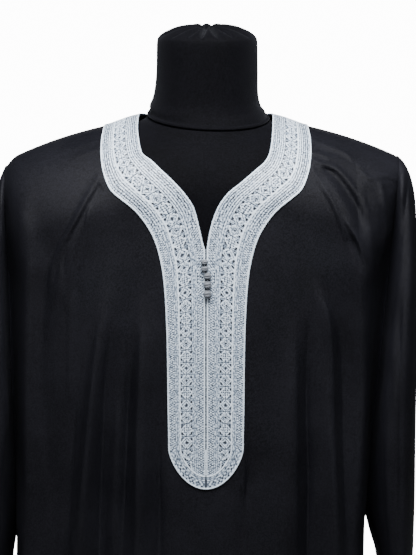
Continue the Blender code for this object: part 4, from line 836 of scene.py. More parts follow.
def flank(side, face, share, start_x, start_z, seam):
    """Bezier curve from the edge of a face to the seam: x, depth and height."""
    seam_x, seam_depth, seam_z = seam
    start_depth = face_depth(side, face, start_x, start_z) * arch(start_x, start_z)
    valley = smooth_step((seam_z - SLEEVES[side][0][4]) / VALLEY_SPAN)
    full_top = smooth_step((seam_z - FULL_TOP + FULL_TOP_EASE) / FULL_TOP_EASE)
    first_x = np.minimum(BODY_HALF[side](start_z) + FLANK_BULGE, seam_x)
    first_x = between(first_x, seam_x - TOP_INSET, full_top)
    reach = np.minimum(FLANK_REACH, (seam_x - start_x) * FLANK_REACH_SHARE)
    second_x = seam_x - between(reach, TOP_REACH, full_top) * valley
    second_depth = between(seam_depth, start_depth, 0.5 * (1.0 - valley))
    x = bezier(share, start_x, first_x, second_x, seam_x)
    depth = bezier(share, start_depth, start_depth * FLANK_FALL, second_depth, seam_depth)
    return x, depth, seam_height(start_x, start_z, seam, x, share)


def turn_flank(side, face, share, x, depth, z, fold, seam):
    """Bends the columns beyond a face's edge round the flank, and lays the folds on, fading there."""
    round_x, round_depth, round_z = flank(side, face, share, x, z, seam)
    beside = share > 0.0
    depth = np.where(beside, round_depth, depth) + fold * (1.0 - share) ** 2
    return np.where(beside, round_x, x), depth, np.where(beside, round_z, z)


def front_table(side):
    """Rows of the front on one side: inner x and drop, band x and drop, armhole turn."""
    own = 1 if side == "right" else 0
    neck = NECK_ROWS[:, (own, 2, 3, 4, 5)]
    slit_x = np.full(len(SLIT_ROWS), SLIT_HALF)
    slit_x[U_END_ROW + 1 - len(NECK_ROWS):] = 0.0
    slit = np.stack((slit_x, ridge(slit_x) - SLIT_ROWS[:, 0], SLIT_ROWS[:, 1],
                     ridge(SLIT_ROWS[:, 1]) - SLIT_ROWS[:, 2], SLIT_ROWS[:, 3]), axis=1)
    return np.concatenate((neck, slit))


def off_band(out, z, width, low, span):
    """Share that folds show: none on the band, all of it past a width beside it and below its end."""
    return 1.0 - (1.0 - smooth_step(out / width)) * smooth_step((z - low) / span)


def front_points(side, rows, columns, creased=True):
    """Outer face of one half of the front. Rows run from the shoulder line to the hem, columns from the
    neckline or middle over the band and the chest, then round the flank to the seam."""
    table = front_table(side)
    marks = np.arange(len(table))
    rows, columns = crossed(rows, columns)
    upper = np.clip(rows, 0, marks[-1])
    lower = share_of(rows, marks[-1], marks[-1] + LOWER_ROWS)
    inner_x, inner_drop, band_x, band_drop, turn = [tame_curve(marks, sizes)(upper) for sizes in table.T]
    inner_z = between(ridge(inner_x) - inner_drop, HEM, lower)
    band_z = between(ridge(band_x) - band_drop, HEM, lower)
    seam = seam_point(side, turn, lower)
    row_half = face_half(side, (band_z + seam[2]) / 2.0)
    band_x = between(band_x, row_half * BAND_STEPS / FACE_END, smooth_step(lower / EVEN_FROM))

    across = share_of(columns, 0, BAND_STEPS)
    beyond = share_of(columns, BAND_STEPS, FACE_END)
    x = between(inner_x, band_x, across) + (row_half - band_x) * beyond
    straight = between(inner_z, band_z, across)
    draped = ridge(x) - between(inner_drop, band_drop, across)
    on_band = between(straight, draped, np.clip(len(NECK_ROWS) - rows, 0.0, 1.0))
    z = np.where(beyond > 0.0, seam_height(band_x, band_z, seam, x), on_band)

    reached = arch(x, z)
    depth = face_depth(side, "front", x, z) * reached
    fold = fold_height(FRONT_FOLDS, SIDE_SIGN[side] * x, z) * reached
    fold = fold * off_band(x - band_x, z, *FOLD_FADE)
    share = share_of(columns, FACE_END, FRONT_COLUMNS)
    x, depth, z = turn_flank(side, "front", share, x, depth, z, fold, seam)
    if creased:
        signed = SIDE_SIGN[side] * x
        swell = off_band(x - band_x, z, *SWELL_FADE) * smooth_step((ridge(x) - z) / SWELL_TOP)
        ripple = crease_height(FRONT_CREASES, signed, z) * off_band(x - band_x, z, *CREASE_FADE)
        depth = depth + ripple * smooth_step((1.0 - share) / SEAM_FADE)
        depth = depth + SWELL * soft_waves(signed, z, 0.0) * (swell * (1.0 - share) ** 2)
    return placed(side, x, -depth, z)


def back_lean(depth, turn):
    """Lean into the shoulders' arch of an oval of a depth round the back neck."""
    return np.arcsin(depth * np.sin(turn) / BODY_DEPTH["back"](NECK_POINT_HEIGHT))


def arch_height(x, lean):
    """Height on the shoulders' arch at a lean from its top."""
    return ridge(x) - ARCH_DROP * (1.0 - np.cos(lean))


def back_neck_points(side, shares, turns):
    """Back neck inside the band: quarter ovals from the neckline outwards, laid over the shoulders."""
    turn, share = crossed(np.radians(turns), shares)
    x = between(NECK_HALF, BAND_HALF, share) * np.cos(turn)
    lean = between(back_lean(BACK_NECK_DEPTH, turn), back_lean(BACK_BAND_DEPTH, turn), share)
    z = arch_height(x, lean)
    return placed(side, x, face_depth(side, "back", x, z) * np.sin(lean), z)


def back_arch_turns(side, shares):
    """Armhole turns of the back rows that lie in the shoulder's arch."""
    half_height = (SLEEVES[side][0][2] - SLEEVES[side][0][4]) / 2.0
    drop = ARCH_DROP * (1.0 - np.cos(np.asarray(shares) * math.pi / 2.0))
    return np.degrees(np.arccos(1.0 - drop / half_height))


def back_points(side, rows, columns):
    """Outer face of one half of the back below the band, from the shoulder line to the hem."""
    arch_rows = len(BACK_ARCH_SHARES) - 1
    upper_rows = arch_rows + len(BACK_ROWS)
    rows, columns = crossed(rows, columns)
    arch_share = tame_curve(np.arange(arch_rows + 1), BACK_ARCH_SHARES)(rows)
    marks = np.arange(arch_rows, upper_rows + 1)
    low_turn = tame_curve(marks, np.append(back_arch_turns(side, 1.0), BACK_ROWS[:, 1]))(rows)
    middle_z = tame_curve(marks, np.append(ridge(0.0) - ARCH_DROP, BACK_ROWS[:, 0]))(rows)
    lower = share_of(rows, upper_rows, upper_rows + LOWER_ROWS)
    middle_z = middle_z + (HEM - BACK_ROWS[-1, 0]) * lower
    arched = rows <= arch_rows
    seam = seam_point(side, np.where(arched, back_arch_turns(side, arch_share), low_turn), lower)
    row_half = face_half(side, (middle_z + seam[2]) / 2.0)

    neck_turn = np.radians(np.interp(columns, np.arange(BACK_NECK_END + 1), BACK_NECK_TURNS))
    lean = between(back_lean(BACK_BAND_DEPTH, neck_turn), math.pi / 2.0, arch_share)
    beyond = share_of(columns, BACK_NECK_END, BACK_FACE_END)
    start = BAND_HALF * np.cos(neck_turn) + (row_half - BAND_HALF) * beyond
    even = row_half * np.minimum(columns / BACK_FACE_END, 1.0)
    x = between(start, even, smooth_step((rows - 1.0) / upper_rows))
    z_low = middle_z + (seam[2] - middle_z) * x / seam[0]
    z_low = between(ridge(x) - (ridge(0.0) - middle_z), z_low, smooth_step((rows - arch_rows) / LOW_ROWS))
    z = np.where(arched, arch_height(x, lean), z_low)

    depth = face_depth(side, "back", x, z) * np.where(arched, np.sin(lean), 1.0)
    signed = SIDE_SIGN[side] * x
    ripple = crease_height(BACK_CREASES, signed, z) + SWELL * soft_waves(signed, z, BACK_SEED)
    fold = (fold_height(BACK_FOLDS, signed, z) + ripple) * smooth_step((rows - FOLD_START) / FOLD_ROWS)
    share = share_of(columns, BACK_FACE_END, BACK_COLUMNS)
    x, depth, z = turn_flank(side, "back", share, x, depth, z, fold, seam)
    return placed(side, x, depth, z)


def sleeve_points(side, rings, turns):
    """Outer face of a sleeve: ovals that fan out from the underarm, with soft creases along them."""
    table = SLEEVES[side]
    rings, degrees = crossed(rings, turns)
    top_x, top_z, under_x, under_z, half_depth = [
        smooth_curve(table[:, 0], sizes)(rings) for sizes in table.T[1:]]
    sine = np.sin(np.radians(degrees))
    along = np.cos(np.radians(degrees))
    fullness = 1.0 - SLEEVE_FULLNESS * smooth_step(rings / FULL_RINGS)
    top_share = smooth_step(along / TOP_SPAN) * (1.0 - smooth_step(rings / TOP_RINGS))
    bulge = np.abs(sine) ** (fullness - SLEEVE_TOP_FULLNESS * top_share)
    bulge = between(seam_share(degrees), bulge, smooth_step(rings / SLEEVE_EASE))
    y = -half_depth * np.sign(sine) * bulge
    z = oval_place(top_z, under_z, along)
    points = placed(side, oval_place(top_x, under_x, along), y, z)
    ripple = crease_height(SLEEVE_CREASES[side], np.broadcast_to(RING_TENTHS * rings, z.shape),
                           np.broadcast_to(degrees, z.shape))
    ripple += SLEEVE_SWELL * soft_waves(2.0 * y, z, SLEEVE_SEED * SIDE_SIGN[side])
    ripple *= smooth_step(rings / SLEEVE_EASE)
    ripple += CUFF_STEP * smooth_step((rings - SLEEVE_RINGS + CUFF_RINGS) / CUFF_EASE)
    return points + grid_normals(points, wrapped=True) * ripple[..., None] * SIDE_SIGN[side]


def grid_normals(points, wrapped=False):
    """Unit normals of a grid of points, from the slopes along its rows and columns."""
    down = np.gradient(points, axis=0)
    if wrapped:
        across = (np.roll(points, -1, axis=1) - np.roll(points, 1, axis=1)) / 2.0
    else:
        across = np.gradient(points, axis=1)
    normal = np.cross(across, down)
    length = np.linalg.norm(normal, axis=-1, keepdims=True)
    return normal / np.maximum(length, 1e-12)


def numbers_of(grid, start=0):
    """Point numbers of a grid of points, counted from a start."""
    return start + np.arange(grid[..., 0].size).reshape(grid.shape[:2])


def ring_numbers(grid):
    """Point numbers of a grid of rings, each closed with its first point."""
    numbers = numbers_of(grid)
    return np.concatenate((numbers, numbers[:, :1]), axis=1)


def quads(numbers):
    """Four-cornered faces of a grid of point numbers."""
    return np.stack((numbers[:-1, :-1], numbers[:-1, 1:], numbers[1:, 1:], numbers[1:, :-1]),
                    axis=-1).reshape(-1, 4)


def fine_marks(*stretches):
    """Marks from short rows of start, end and number of steps."""
    marks = [np.linspace(start, end, steps, endpoint=False) for start, end, steps in stretches]
    return np.append(np.concatenate(marks), stretches[-1][1])


def add_object(name, data):
    """A new object at the origin, linked to the scene."""
    thing = bpy.data.objects.new(name, data)
    bpy.context.scene.collection.objects.link(thing)
    return thing


def new_mesh(name, points, faces, weld=0.0, face_outwards=False):
    """A smooth mesh object at the origin; near points are merged when weld is above 0."""
    mesh = bpy.data.meshes.new(name)
    mesh.from_pydata(points.reshape(-1, 3).tolist(), [], [tuple(face) for face in faces])
    if weld > 0.0 or face_outwards:
        work = bmesh.new()
        work.from_mesh(mesh)
        if weld > 0.0:
            bmesh.ops.remove_doubles(work, verts=work.verts, dist=weld)
        if face_outwards:
            bmesh.ops.recalc_face_normals(work, faces=work.faces)
        work.to_mesh(mesh)
        work.free()
    mesh.shade_smooth()
    return add_object(name, mesh)


def store_shading_relief(thing, heights):
    """Keeps the relief at every point as an attribute, which the material turns into painted shade in
    hollows.
    """
    relief = thing.data.attributes.new("relief", "FLOAT", "POINT")
    relief.data.foreach_set("value", heights.astype(np.float32))


def dress(thing, material, nodes):
    """Gives a piece its material in its one slot and its body, and hides the solids of the nodes it stands
    for.
    """
    thing.data.materials.clear()
    thing.data.materials.append(material)
    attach(thing, "root")
    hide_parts(*nodes)
    return thing


def dress_cloth(thing, crepe, node):
    """Dresses a robe piece in crepe, with its thickness on the inner side."""
    wall = thing.modifiers.new("cloth thickness", "SOLIDIFY")
    wall.thickness = CLOTH
    wall.offset = -1.0
    return dress(thing, crepe, [node])


def panel_mesh(name, grids):
    """One mesh from grids of points, each with a word on whether its faces are turned over."""
    points = []
    faces = []
    for grid, turned in grids:
        numbers = numbers_of(grid, sum(len(block) for block in points))
        faces.append(quads(numbers[:, ::-1] if turned else numbers))
        points.append(grid.reshape(-1, 3))
    return new_mesh(name, np.concatenate(points), np.concatenate(faces), weld=WELD)


def make_front(crepe):
    """Front panel: two halves that meet below the slit."""
    rows = fine_marks(*FRONT_STRETCHES)
    columns = fine_marks((0, BAND_STEPS, 6), (BAND_STEPS, FACE_END, 92), (FACE_END, FRONT_COLUMNS, 26))
    grids = [(front_points(side, rows, columns), side == "right") for side in SIDE_SIGN]
    return dress_cloth(panel_mesh("robe_front", grids), crepe, "front")


def make_back(crepe):
    """Back panel: both halves, with the part of the neck under the band."""
    rows = fine_marks(*BACK_STRETCHES)
    columns = fine_marks((0, BACK_NECK_END, 28), (BACK_NECK_END, BACK_FACE_END, 21),
                         (BACK_FACE_END, BACK_COLUMNS, 18))
    neck_marks = columns[columns <= BACK_NECK_END]
    turns = np.interp(neck_marks, np.arange(BACK_NECK_END + 1), BACK_NECK_TURNS)
    grids = []
    for side in SIDE_SIGN:
        neck = np.swapaxes(back_neck_points(side, np.linspace(0.0, 1.0, 7), turns), 0, 1)
        grids += [(block, side == "left") for block in (back_points(side, rows, columns), neck)]
    return dress_cloth(panel_mesh("robe_back", grids), crepe, "back")


def make_sleeve(side, crepe):
    """One sleeve: a tube from the armhole to the open cuff."""
    turns = np.linspace(0.0, 360.0, SLEEVE_COLUMNS + 1)[:-1]
    points = sleeve_points(side, fine_marks(*SLEEVE_STRETCHES), turns)
    numbers = ring_numbers(points)
    faces = quads(numbers if side == "left" else numbers[:, ::-1])
    return dress_cloth(new_mesh("robe_sleeve_" + side, points, faces), crepe, "sleeve_" + side)


def half_round(place):
    """Height of a row of cords across their width: a half circle in every unit."""
    inside = 2.0 * (place - np.floor(place)) - 1.0
    return np.sqrt(np.maximum(0.0, 1.0 - inside**2))


def cord_round(place, corded):
    """A row of cords that turns from half circles to parabolas, with wider grooves, where corded is 1."""
    whole = half_round(place)
    return whole + (whole**2 - whole) * corded


def off_whole(value):
    """Distance of a value from the nearest whole number."""
    return value - np.round(value)


def stitch_rows(along, across, rows, corded):
    """Rows of chain stitch: round rows with a hole in each stitch, every other row half a stitch on.
    Where corded is 1 the holes are small and the grooves between the rows are deep."""
    row = np.floor(across * rows)
    place = across * rows - row
    gap = off_whole(along / STITCH_PITCH + 0.5 * np.mod(row, 2.0)) * STITCH_PITCH
    low = 0.14 - 0.22 * corded
    top = between(low, 0.82, cord_round(across * rows, corded))
    return top - (0.80 - 0.47 * corded) * bell((gap, 0.66), (place - 0.5, 0.32))


def plain_rows(across, rows, corded):
    """Close satin rows, which turn into separate cords where corded is 1."""
    low = 0.16 - 0.24 * corded
    return between(low, 0.64 + 0.22 * corded, cord_round(across * rows, corded))


def lattice(along, across):
    """Diamonds between crossing cords: turn about, a diamond has a smaller one in it, a grid of holes, or
    slanting stitches. Rows of holes run down both sides, between the diamonds' corners."""
    turn = along / DIAMOND_LENGTH
    width = LATTICE_END - RIDGE_END
    q = across - 0.5
    slant = DIAMOND_LENGTH / math.hypot(DIAMOND_LENGTH, width) * width
    u = off_whole(turn) * DIAMOND_LENGTH
    v = q * width
    inner = np.abs(off_whole(turn)) * 2.0 + np.abs(q) * 2.0
    kind = np.mod(np.round(turn), 3.0)
    small = bell((inner - 0.55, 0.12))
    holes = bell((off_whole(u / GRID_DOWN) * GRID_DOWN, 0.80), (off_whole(v / GRID_OVER) * GRID_OVER, 0.75))
    slanting = 0.5 + 0.5 * np.cos(2.0 * math.pi * (u + np.sign(v) * v) / SLANT_PITCH)
    fill = np.where(kind == 1.0, 0.78 - 0.98 * holes, 0.26 + 0.58 * slanting)
    fill = np.where(kind == 0.0, 0.38 + 0.52 * small, fill)
    fill = fill - 0.95 * bell((u, HOLE_LONG), (v, HOLE_WIDE)) * (kind != 1.0)
    beside = 0.46 + 0.26 * np.cos(2.0 * math.pi * along / SIDE_PITCH)
    height = np.where(inner < 1.0, fill, beside)
    for lean in (q, -q):
        height = np.maximum(height, 1.02 * bell((off_whole(turn + lean - 0.5) * slant, CORD_HALF)))
    gap = off_whole(2.0 * turn - 0.5) * DIAMOND_LENGTH / 2.0
    for column in (-SIDE_HOLES, SIDE_HOLES):
        height = height - 1.10 * bell((gap, HOLE_LONG), ((q - column) * width, HOLE_WIDE))
    return height - bell((off_whole(turn - 0.5) * DIAMOND_LENGTH, HOLE_LONG), (v, HOLE_WIDE))


def embroidery(along, across, corded):
    """Height in millimetres of the stitching at a place along the band and its distance from the outer
    edge: an edge cord, chain rows, satin, a raised ridge, the lattice, plain rows, chain rows, a cord."""
    zones = (
        (0.0, EDGE_CORD, lambda a, d: 0.35 + 0.75 * half_round(d)),
        (EDGE_CORD, OUTER_ROWS_END, lambda a, d: stitch_rows(a, d, 3.0, corded)),
        (OUTER_ROWS_END, SATIN_END, lambda a, d: plain_rows(d, 2.0, corded)),
        (SATIN_END, RIDGE_END, lambda a, d: 0.20 + 0.82 * half_round(d)),
        (RIDGE_END, LATTICE_END, lattice),
        (LATTICE_END, PLAIN_END, lambda a, d: plain_rows(d, 3.0, corded)),
        (PLAIN_END, INNER_ROWS_END, lambda a, d: stitch_rows(a + 0.7, d, 3.0, corded)),
        (INNER_ROWS_END, BAND_WIDTH, lambda a, d: 0.30 + 0.75 * half_round(d)),
    )
    along = along + 0.45 * np.sin(along / 23.0) + 0.30 * np.sin(along / 9.1 + across / 6.0)
    height = np.zeros(along.shape)
    for start, end, shape in zones:
        share = np.clip((across - start) / (end - start), 0.0, 0.9999)
        inside = (across >= start) & (across <= end)
        height = np.where(inside, shape(along, share), height)
    return height


def round_end_points(side, turns, across):
    """Cloth under the band's round end: a half disc about the slit's foot, on the front's depth."""
    turn, share = crossed(np.radians(turns), across)
    centre_z, band_half = SLIT_ROWS[U_END_ROW - len(NECK_ROWS), :2]
    x = between(SLIT_HALF, band_half, share) * np.cos(turn)
    z = centre_z - between(SLIT_HALF, U_END_DROP, share) * np.sin(turn) ** U_END_FALL
    return placed(side, x, -face_depth(side, "front", x, z), z)


def band_points(side, place, across):
    """Cloth under one half of the band: place 0 to 1 round the back neck, then a row a unit down the
    front, then 1 unit round the end; across from the inner edge 0 to the outer edge 1."""
    round_start = 1.0 + U_END_ROW
    behind = back_neck_points(side, across, 90.0 * (1.0 - place[place < 1.0]))
    ahead = place[(place >= 1.0) & (place <= round_start)] - 1.0
    before = front_points(side, ahead, across * BAND_STEPS, creased=False)
    below = round_end_points(side, 90.0 * (place[place > round_start] - round_start), across)
    return np.concatenate((behind, before, below))


def band_relief(cloth, place, along, from_edge):
    """Height in millimetres of the stitching on a grid of band points. In the round end the lattice runs
    straight on to the foot, and the outer zones meet there in a mitre."""
    x = 1000.0 * cloth[..., 0]
    drop = ridge(cloth[..., 0]) - cloth[..., 2]
    corded = smooth_step((CORDED_DROP - np.abs(drop)) / CORDED_SPAN)
    round_end = place[:, None] > 1.0 + U_END_ROW
    straight = BAND_WIDTH - np.abs(x)
    slit_foot = SLIT_ROWS[U_END_ROW - len(NECK_ROWS), 0]
    down = 1000.0 * (cloth[..., 2] - slit_foot) + along[np.argmax(round_end), 0]
    relief = np.where(round_end & (from_edge > RIDGE_END) & (straight > LATTICE_END),
                      embroidery(down, np.maximum(straight, LATTICE_END), corded),
                      embroidery(along, from_edge, corded))
    mitre = bell((x, MITRE_WIDTH)) * round_end * (from_edge < RIDGE_END)
    return relief - MITRE_DEPTH * mitre * (from_edge > EDGE_CORD)


def make_band_half(side, silver):
    """One half of the neck band, from the back's middle to the foot of its round end."""
    round_start = 1.0 + U_END_ROW
    coarse = fine_marks((0.0, 1.0, 60), (1.0, round_start, 400), (round_start, round_start + 1.0, 60))
    middle = band_points(side, coarse, np.array((0.5,)))[:, 0]
    lengths = np.append(0.0, np.cumsum(np.linalg.norm(np.diff(middle, axis=0), axis=1)))
    along = np.linspace(0.0, lengths[-1], int(lengths[-1] / STITCH_STEP))
    place = np.interp(along, lengths, coarse)
    columns = np.linspace(0.0, 1.0, BAND_COLUMNS)
    cloth = band_points(side, place, columns)
    normals = grid_normals(cloth)
    normals *= np.sign(-normals[-1, -1, 1])
    along_mm = 1000.0 * (lengths[-1] - along)[:, None] + 0.0 * columns[None, :]
    from_edge = BAND_WIDTH * (1.0 - columns)[None, :] + 0.0 * along_mm
    relief = band_relief(cloth, place, along_mm, from_edge)

    top = cloth + normals * (BAND_LIFT + 0.001 * np.maximum(relief, HOLE_BOTTOM))[..., None]
    under = (cloth + normals * BAND_UNDER)[:, ::UNDER_EVERY]
    numbers = numbers_of(top)
    lower = numbers_of(under, numbers.size)
    faces = quads(numbers).tolist() + quads(lower[:, ::-1]).tolist()
    for edge, foot in ((numbers[:, -1], lower[:, -1]), (lower[:, 0], numbers[:, 0])):
        faces += quads(np.stack((edge, foot), axis=1)).tolist()
    faces.append(numbers[0].tolist()[::-1] + lower[0].tolist())
    faces.append(numbers[-1].tolist() + lower[-1].tolist()[::-1])
    points = np.concatenate((top.reshape(-1, 3), under.reshape(-1, 3)))
    band = new_mesh("band_" + side, points, faces, face_outwards=True)
    # The relief kept for the material paints shade into the holes, grooves and underside, and highlight on
    # the cord tops
    store_shading_relief(band, np.append(np.clip(relief, DARKEST_SHADE, RELIEF_TOP), np.full(lower.size, UNDER_SHADE)))

    stitching = [np.append(sizes, np.zeros(lower.size)) / 1000.0 for sizes in (along_mm, from_edge)]
    corners = np.empty(len(band.data.loops), dtype=np.int32)
    band.data.loops.foreach_get("vertex_index", corners)
    places = np.stack(stitching, axis=1)[corners].astype(np.float32)
    band.data.uv_layers.new(name="stitching").data.foreach_set("uv", places.ravel())
    return dress(band, silver, ["neck_band"])


def full_turn(count):
    """Even turns all round, in radians."""
    return np.linspace(0.0, 2.0 * math.pi, count + 1)[:-1]


def closed_rings(name, rings, material, node):
    """A closed body through rings of points, with a centre point that closes each end."""
    numbers = ring_numbers(rings)
    first = rings.shape[0] * rings.shape[1]
    faces = quads(numbers).tolist()
    for centre, ring in ((first, numbers[0]), (first + 1, numbers[-1])):
        faces += [[centre, int(a), int(b)] for a, b in zip(ring[:-1], ring[1:])]
    points = np.concatenate((rings.reshape(-1, 3), rings[[0, -1]].mean(axis=1)))
    return dress(new_mesh(name, points, faces, face_outwards=True), material, [node])


def make_button(number, cord):
    """Knotted button: an oval ball of cords that run from its left end to its right end."""
    x, z, half_width, half_height = BUTTONS[number]
    across = np.linspace(-math.pi / 2.0, math.pi / 2.0, 27)[1:-1, None]
    turn = full_turn(96)[None, :]
    twist = CORD_TWIST * np.sin(2.0 * across + number)
    lobe = np.abs(np.sin(BUTTON_CORDS / 2.0 * (turn + twist)))
    swell = 1.0 - CORD_GROOVE * (1.0 - np.sqrt(lobe)) * np.cos(across)
    side = "right" if x >= 0.0 else "left"
    seat = float(face_depth(side, "front", abs(x), z)) + BAND_THICKNESS + SEAM_GAP + BUTTON_SEAT
    out = BUTTON_HALF_DEPTH * np.cos(across) * np.cos(turn) * swell
    up = half_height * np.cos(across) * np.sin(turn) * swell
    wide = half_width * np.sin(across) + 0.0 * turn
    rings = np.stack((x + wide, -(seat + np.maximum(out, BUTTON_FLAT - BUTTON_SEAT)), z + up), axis=-1)
    node = f"button_{number + 1}"
    knot = closed_rings("knot_" + node, rings, cord, node)
    # Grooves between the cords are kept as low relief, which the material paints as shade; the ends take a
    # middle shade
    store_shading_relief(knot, np.append((swell - (1.0 - CORD_GROOVE)) / CORD_GROOVE, (END_SHADE, END_SHADE)))


def make_torso(jersey):
    """Torso of the dress form: neck ring, shoulders under the robe, then sections to its flat end."""
    turn = full_turn(128)
    cos = np.cos(turn)
    sin = np.sin(turn)
    foot_y = NECK_FOOT_DEPTH * sin
    foot_z = NECK_FOOT_HEIGHT + NECK_FOOT_TILT * foot_y + NECK_SIDE_TILT * NECK_FOOT_HALF * cos
    rings = [np.stack((NECK_FOOT_SHIFT + NECK_FOOT_HALF * cos, foot_y, foot_z), axis=-1)]
    for share in FORM_SHARES:
        x = (NECK_HALF - FORM_NECK_INSET + (FORM_SHOULDER - NECK_HALF) * share) * cos
        lean = np.arcsin((1.0 - FORM_LEAN) * sin + FORM_LEAN * sin * share)
        z = shoulder_line(x) - FORM_SINK - ARCH_DROP * (1.0 - np.cos(lean))
        full = np.where(sin < 0.0, face_depth("right", "front", x, z), face_depth("right", "back", x, z))
        shoulder_end = smooth_step((np.abs(x) - FORM_END_START) / (FORM_SHOULDER - FORM_END_START))
        y = np.sin(lean) * (full - FORM_INSET - FORM_END_INSET * shoulder_end)
        rings.append(np.stack((x, y, z), axis=-1))
    levels = []
    for height, half, front, back in FORM_LEVELS[::-1]:
        depth = np.where(sin < 0.0, front, back)
        levels.append(np.stack((half * cos, depth * sin, np.full_like(sin, height)), axis=-1))
    joined = (rings[-1] + levels[0]) / 2.0
    joined[:, 2] = rings[-1][:, 2] * FORM_JOIN + levels[0][:, 2] * (1.0 - FORM_JOIN)
    rings = np.array(rings + [joined] + levels)
    last = len(rings) - 1
    fine = fine_marks((0, last - 2, 6 * (last - 2)), (last - 2, last, 8))
    smooth = [tame_curve(np.arange(last + 1), places)(fine) for places in rings.reshape(last + 1, -1).T]
    smooth = np.stack(smooth, axis=1).reshape(len(fine), -1, 3)
    closed_rings("form_jersey_torso", smooth, jersey, "form_torso")


def make_neck_cover(jersey):
    """Neck cover: a rolled hem, a straight neck, and a cap drawn in to a knot: rounded lobes between
    uneven sharp hollows that run in to the middle."""
    turn = full_turn(360)[None, :]
    cap_height, cap_share, cap_rise = NECK_CAP.T
    height = np.append(NECK_COVER[:, 0] + NECK_FOOT_HEIGHT, cap_height)
    half = np.append(NECK_COVER[:, 1], NECK_COVER[-1, 1] * cap_share)
    deep = np.append(NECK_COVER[:, 2], NECK_COVER[-1, 2] * cap_share)
    rise = np.append(np.zeros(len(NECK_COVER)), cap_rise)
    marks = np.arange(len(height))
    fine = np.linspace(0.0, marks[-1], 8 * marks[-1] + 1)[:, None]
    z, half, deep, rise = [tame_curve(marks, values)(fine) for values in (height, half, deep, rise)]
    above_foot = z - NECK_FOOT_HEIGHT
    tilt = 1.0 - smooth_step(above_foot / NECK_TILT_SPAN)
    foot = 1.0 - smooth_step((above_foot - NECK_HEM) / NECK_HEM_SPAN)
    top = smooth_step((above_foot - NECK_TOP) / NECK_TOP_SPAN)
    shift = NECK_FOOT_SHIFT * foot + NECK_TOP_SHIFT * top
    gather = np.zeros(turn.shape)
    for middle, wide, high in CAP_PLEATS:
        apart = np.mod(np.degrees(turn) - middle + 180.0, 360.0) - 180.0
        gather = gather - high * np.exp(-np.abs(apart) / wide)
    gather = gather - gather.mean()
    x = half * np.cos(turn)
    y = deep * np.sin(turn)
    z = z + tilt * (NECK_FOOT_TILT * y + NECK_SIDE_TILT * x) + rise * gather
    points = np.stack((x + shift, y, z), axis=-1)
    closed_rings("form_jersey_neck", points, jersey, "form_neck_cover")


def new_material(name):
    """A new material, its node tree and its Principled shader."""
    material = bpy.data.materials.new(name)
    material.use_nodes = True
    tree = material.node_tree
    return material, tree, tree.nodes["Principled BSDF"]


def fill_inputs(tree, node, inputs):
    """Sets inputs of a node to values, or links them where a socket is given."""
    for key, value in inputs.items():
        if isinstance(value, bpy.types.NodeSocket):
            tree.links.new(value, node.inputs[key])
        else:
            node.inputs[key].default_value = value


def add_node(tree, kind, inputs=None, **settings):
    """A node of a kind with its settings, and then its inputs."""
    node = tree.nodes.new(kind)
    for name, value in settings.items():
        setattr(node, name, value)
    fill_inputs(tree, node, inputs or {})
    return node


def object_place(tree):
    """Object coordinates."""
    return tree.nodes.new("ShaderNodeTexCoord").outputs["Object"]


def relief_for_painted_shade(tree):
    """The relief that a piece's points keep, which the material paints as shade where it is low."""
    return add_node(tree, "ShaderNodeAttribute", attribute_name="relief").outputs["Fac"]


def noise(tree, place, scale, detail):
    """Value of a noise at a place."""
    inputs = {"Vector": place, "Scale": scale, "Detail": detail}
    return add_node(tree, "ShaderNodeTexNoise", inputs).outputs["Fac"]


def scaled_sum(tree, value, factor, rest):
    """A value times a factor, plus the rest."""
    inputs = {0: value, 1: factor, 2: rest}
    return add_node(tree, "ShaderNodeMath", inputs, operation="MULTIPLY_ADD").outputs[0]


def spread(tree, value, ends):
    """A value mapped between ends."""
    return add_node(tree, "ShaderNodeMapRange", {"Value": value, **ends}).outputs["Result"]


def bump(tree, height, strength, distance):
    """Normal of a height."""
    inputs = {"Height": height, "Strength": strength, "Distance": distance}
    return add_node(tree, "ShaderNodeBump", inputs).outputs["Normal"]


def mixed_tone(tree, share, dark, light):
    """Colour a share of the way from a dark to a light tone."""
    inputs = {"Factor": share, "A": (*dark, 1.0), "B": (*light, 1.0)}
    return add_node(tree, "ShaderNodeMix", inputs, data_type="RGBA").outputs["Result"]


def ramp_tone(tree, value, stops):
    """Colour at a value on a ramp of places and colours."""
    node = add_node(tree, "ShaderNodeValToRGB", {"Fac": value})
    elements = node.color_ramp.elements
    for stop in stops[1:-1]:
        elements.new(stop[0])
    for element, (position, colour) in zip(elements, stops):
        element.position = position
        element.color = (*colour, 1.0)
    return node.outputs["Color"]


def woven_group():
    """Fine woven grain: two crossed waves with noise for bump, slow clouds and fine flecks."""
    group = bpy.data.node_groups.new("fine_weave", "ShaderNodeTree")
    group.interface.new_socket("Vector", in_out="INPUT", socket_type="NodeSocketVector")
    group.interface.new_socket("Pitch", in_out="INPUT", socket_type="NodeSocketFloat")
    for name in ("Height", "Cloudy", "Speckle"):
        group.interface.new_socket(name, in_out="OUTPUT", socket_type="NodeSocketFloat")
    source = group.nodes.new("NodeGroupInput").outputs
    place = source["Vector"]
    inputs = {"Vector": place, "Scale": source["Pitch"], "Distortion": 1.2, "Detail": 1.0}
    waves = [add_node(group, "ShaderNodeTexWave", inputs, bands_direction=way) for way in ("X", "Z")]
    inputs = {0: waves[0].outputs["Fac"], 1: waves[1].outputs["Fac"]}
    both = add_node(group, "ShaderNodeMath", inputs, operation="ADD").outputs[0]
    add_node(group, "NodeGroupOutput", {
        "Height": scaled_sum(group, noise(group, place, 260.0, 3.0), 0.4, both),
        "Cloudy": noise(group, place, 14.0, 4.0),
        "Speckle": spread(group, noise(group, place, 620.0, 2.0), {"From Min": 0.34, "From Max": 0.66}),
    })
    return group


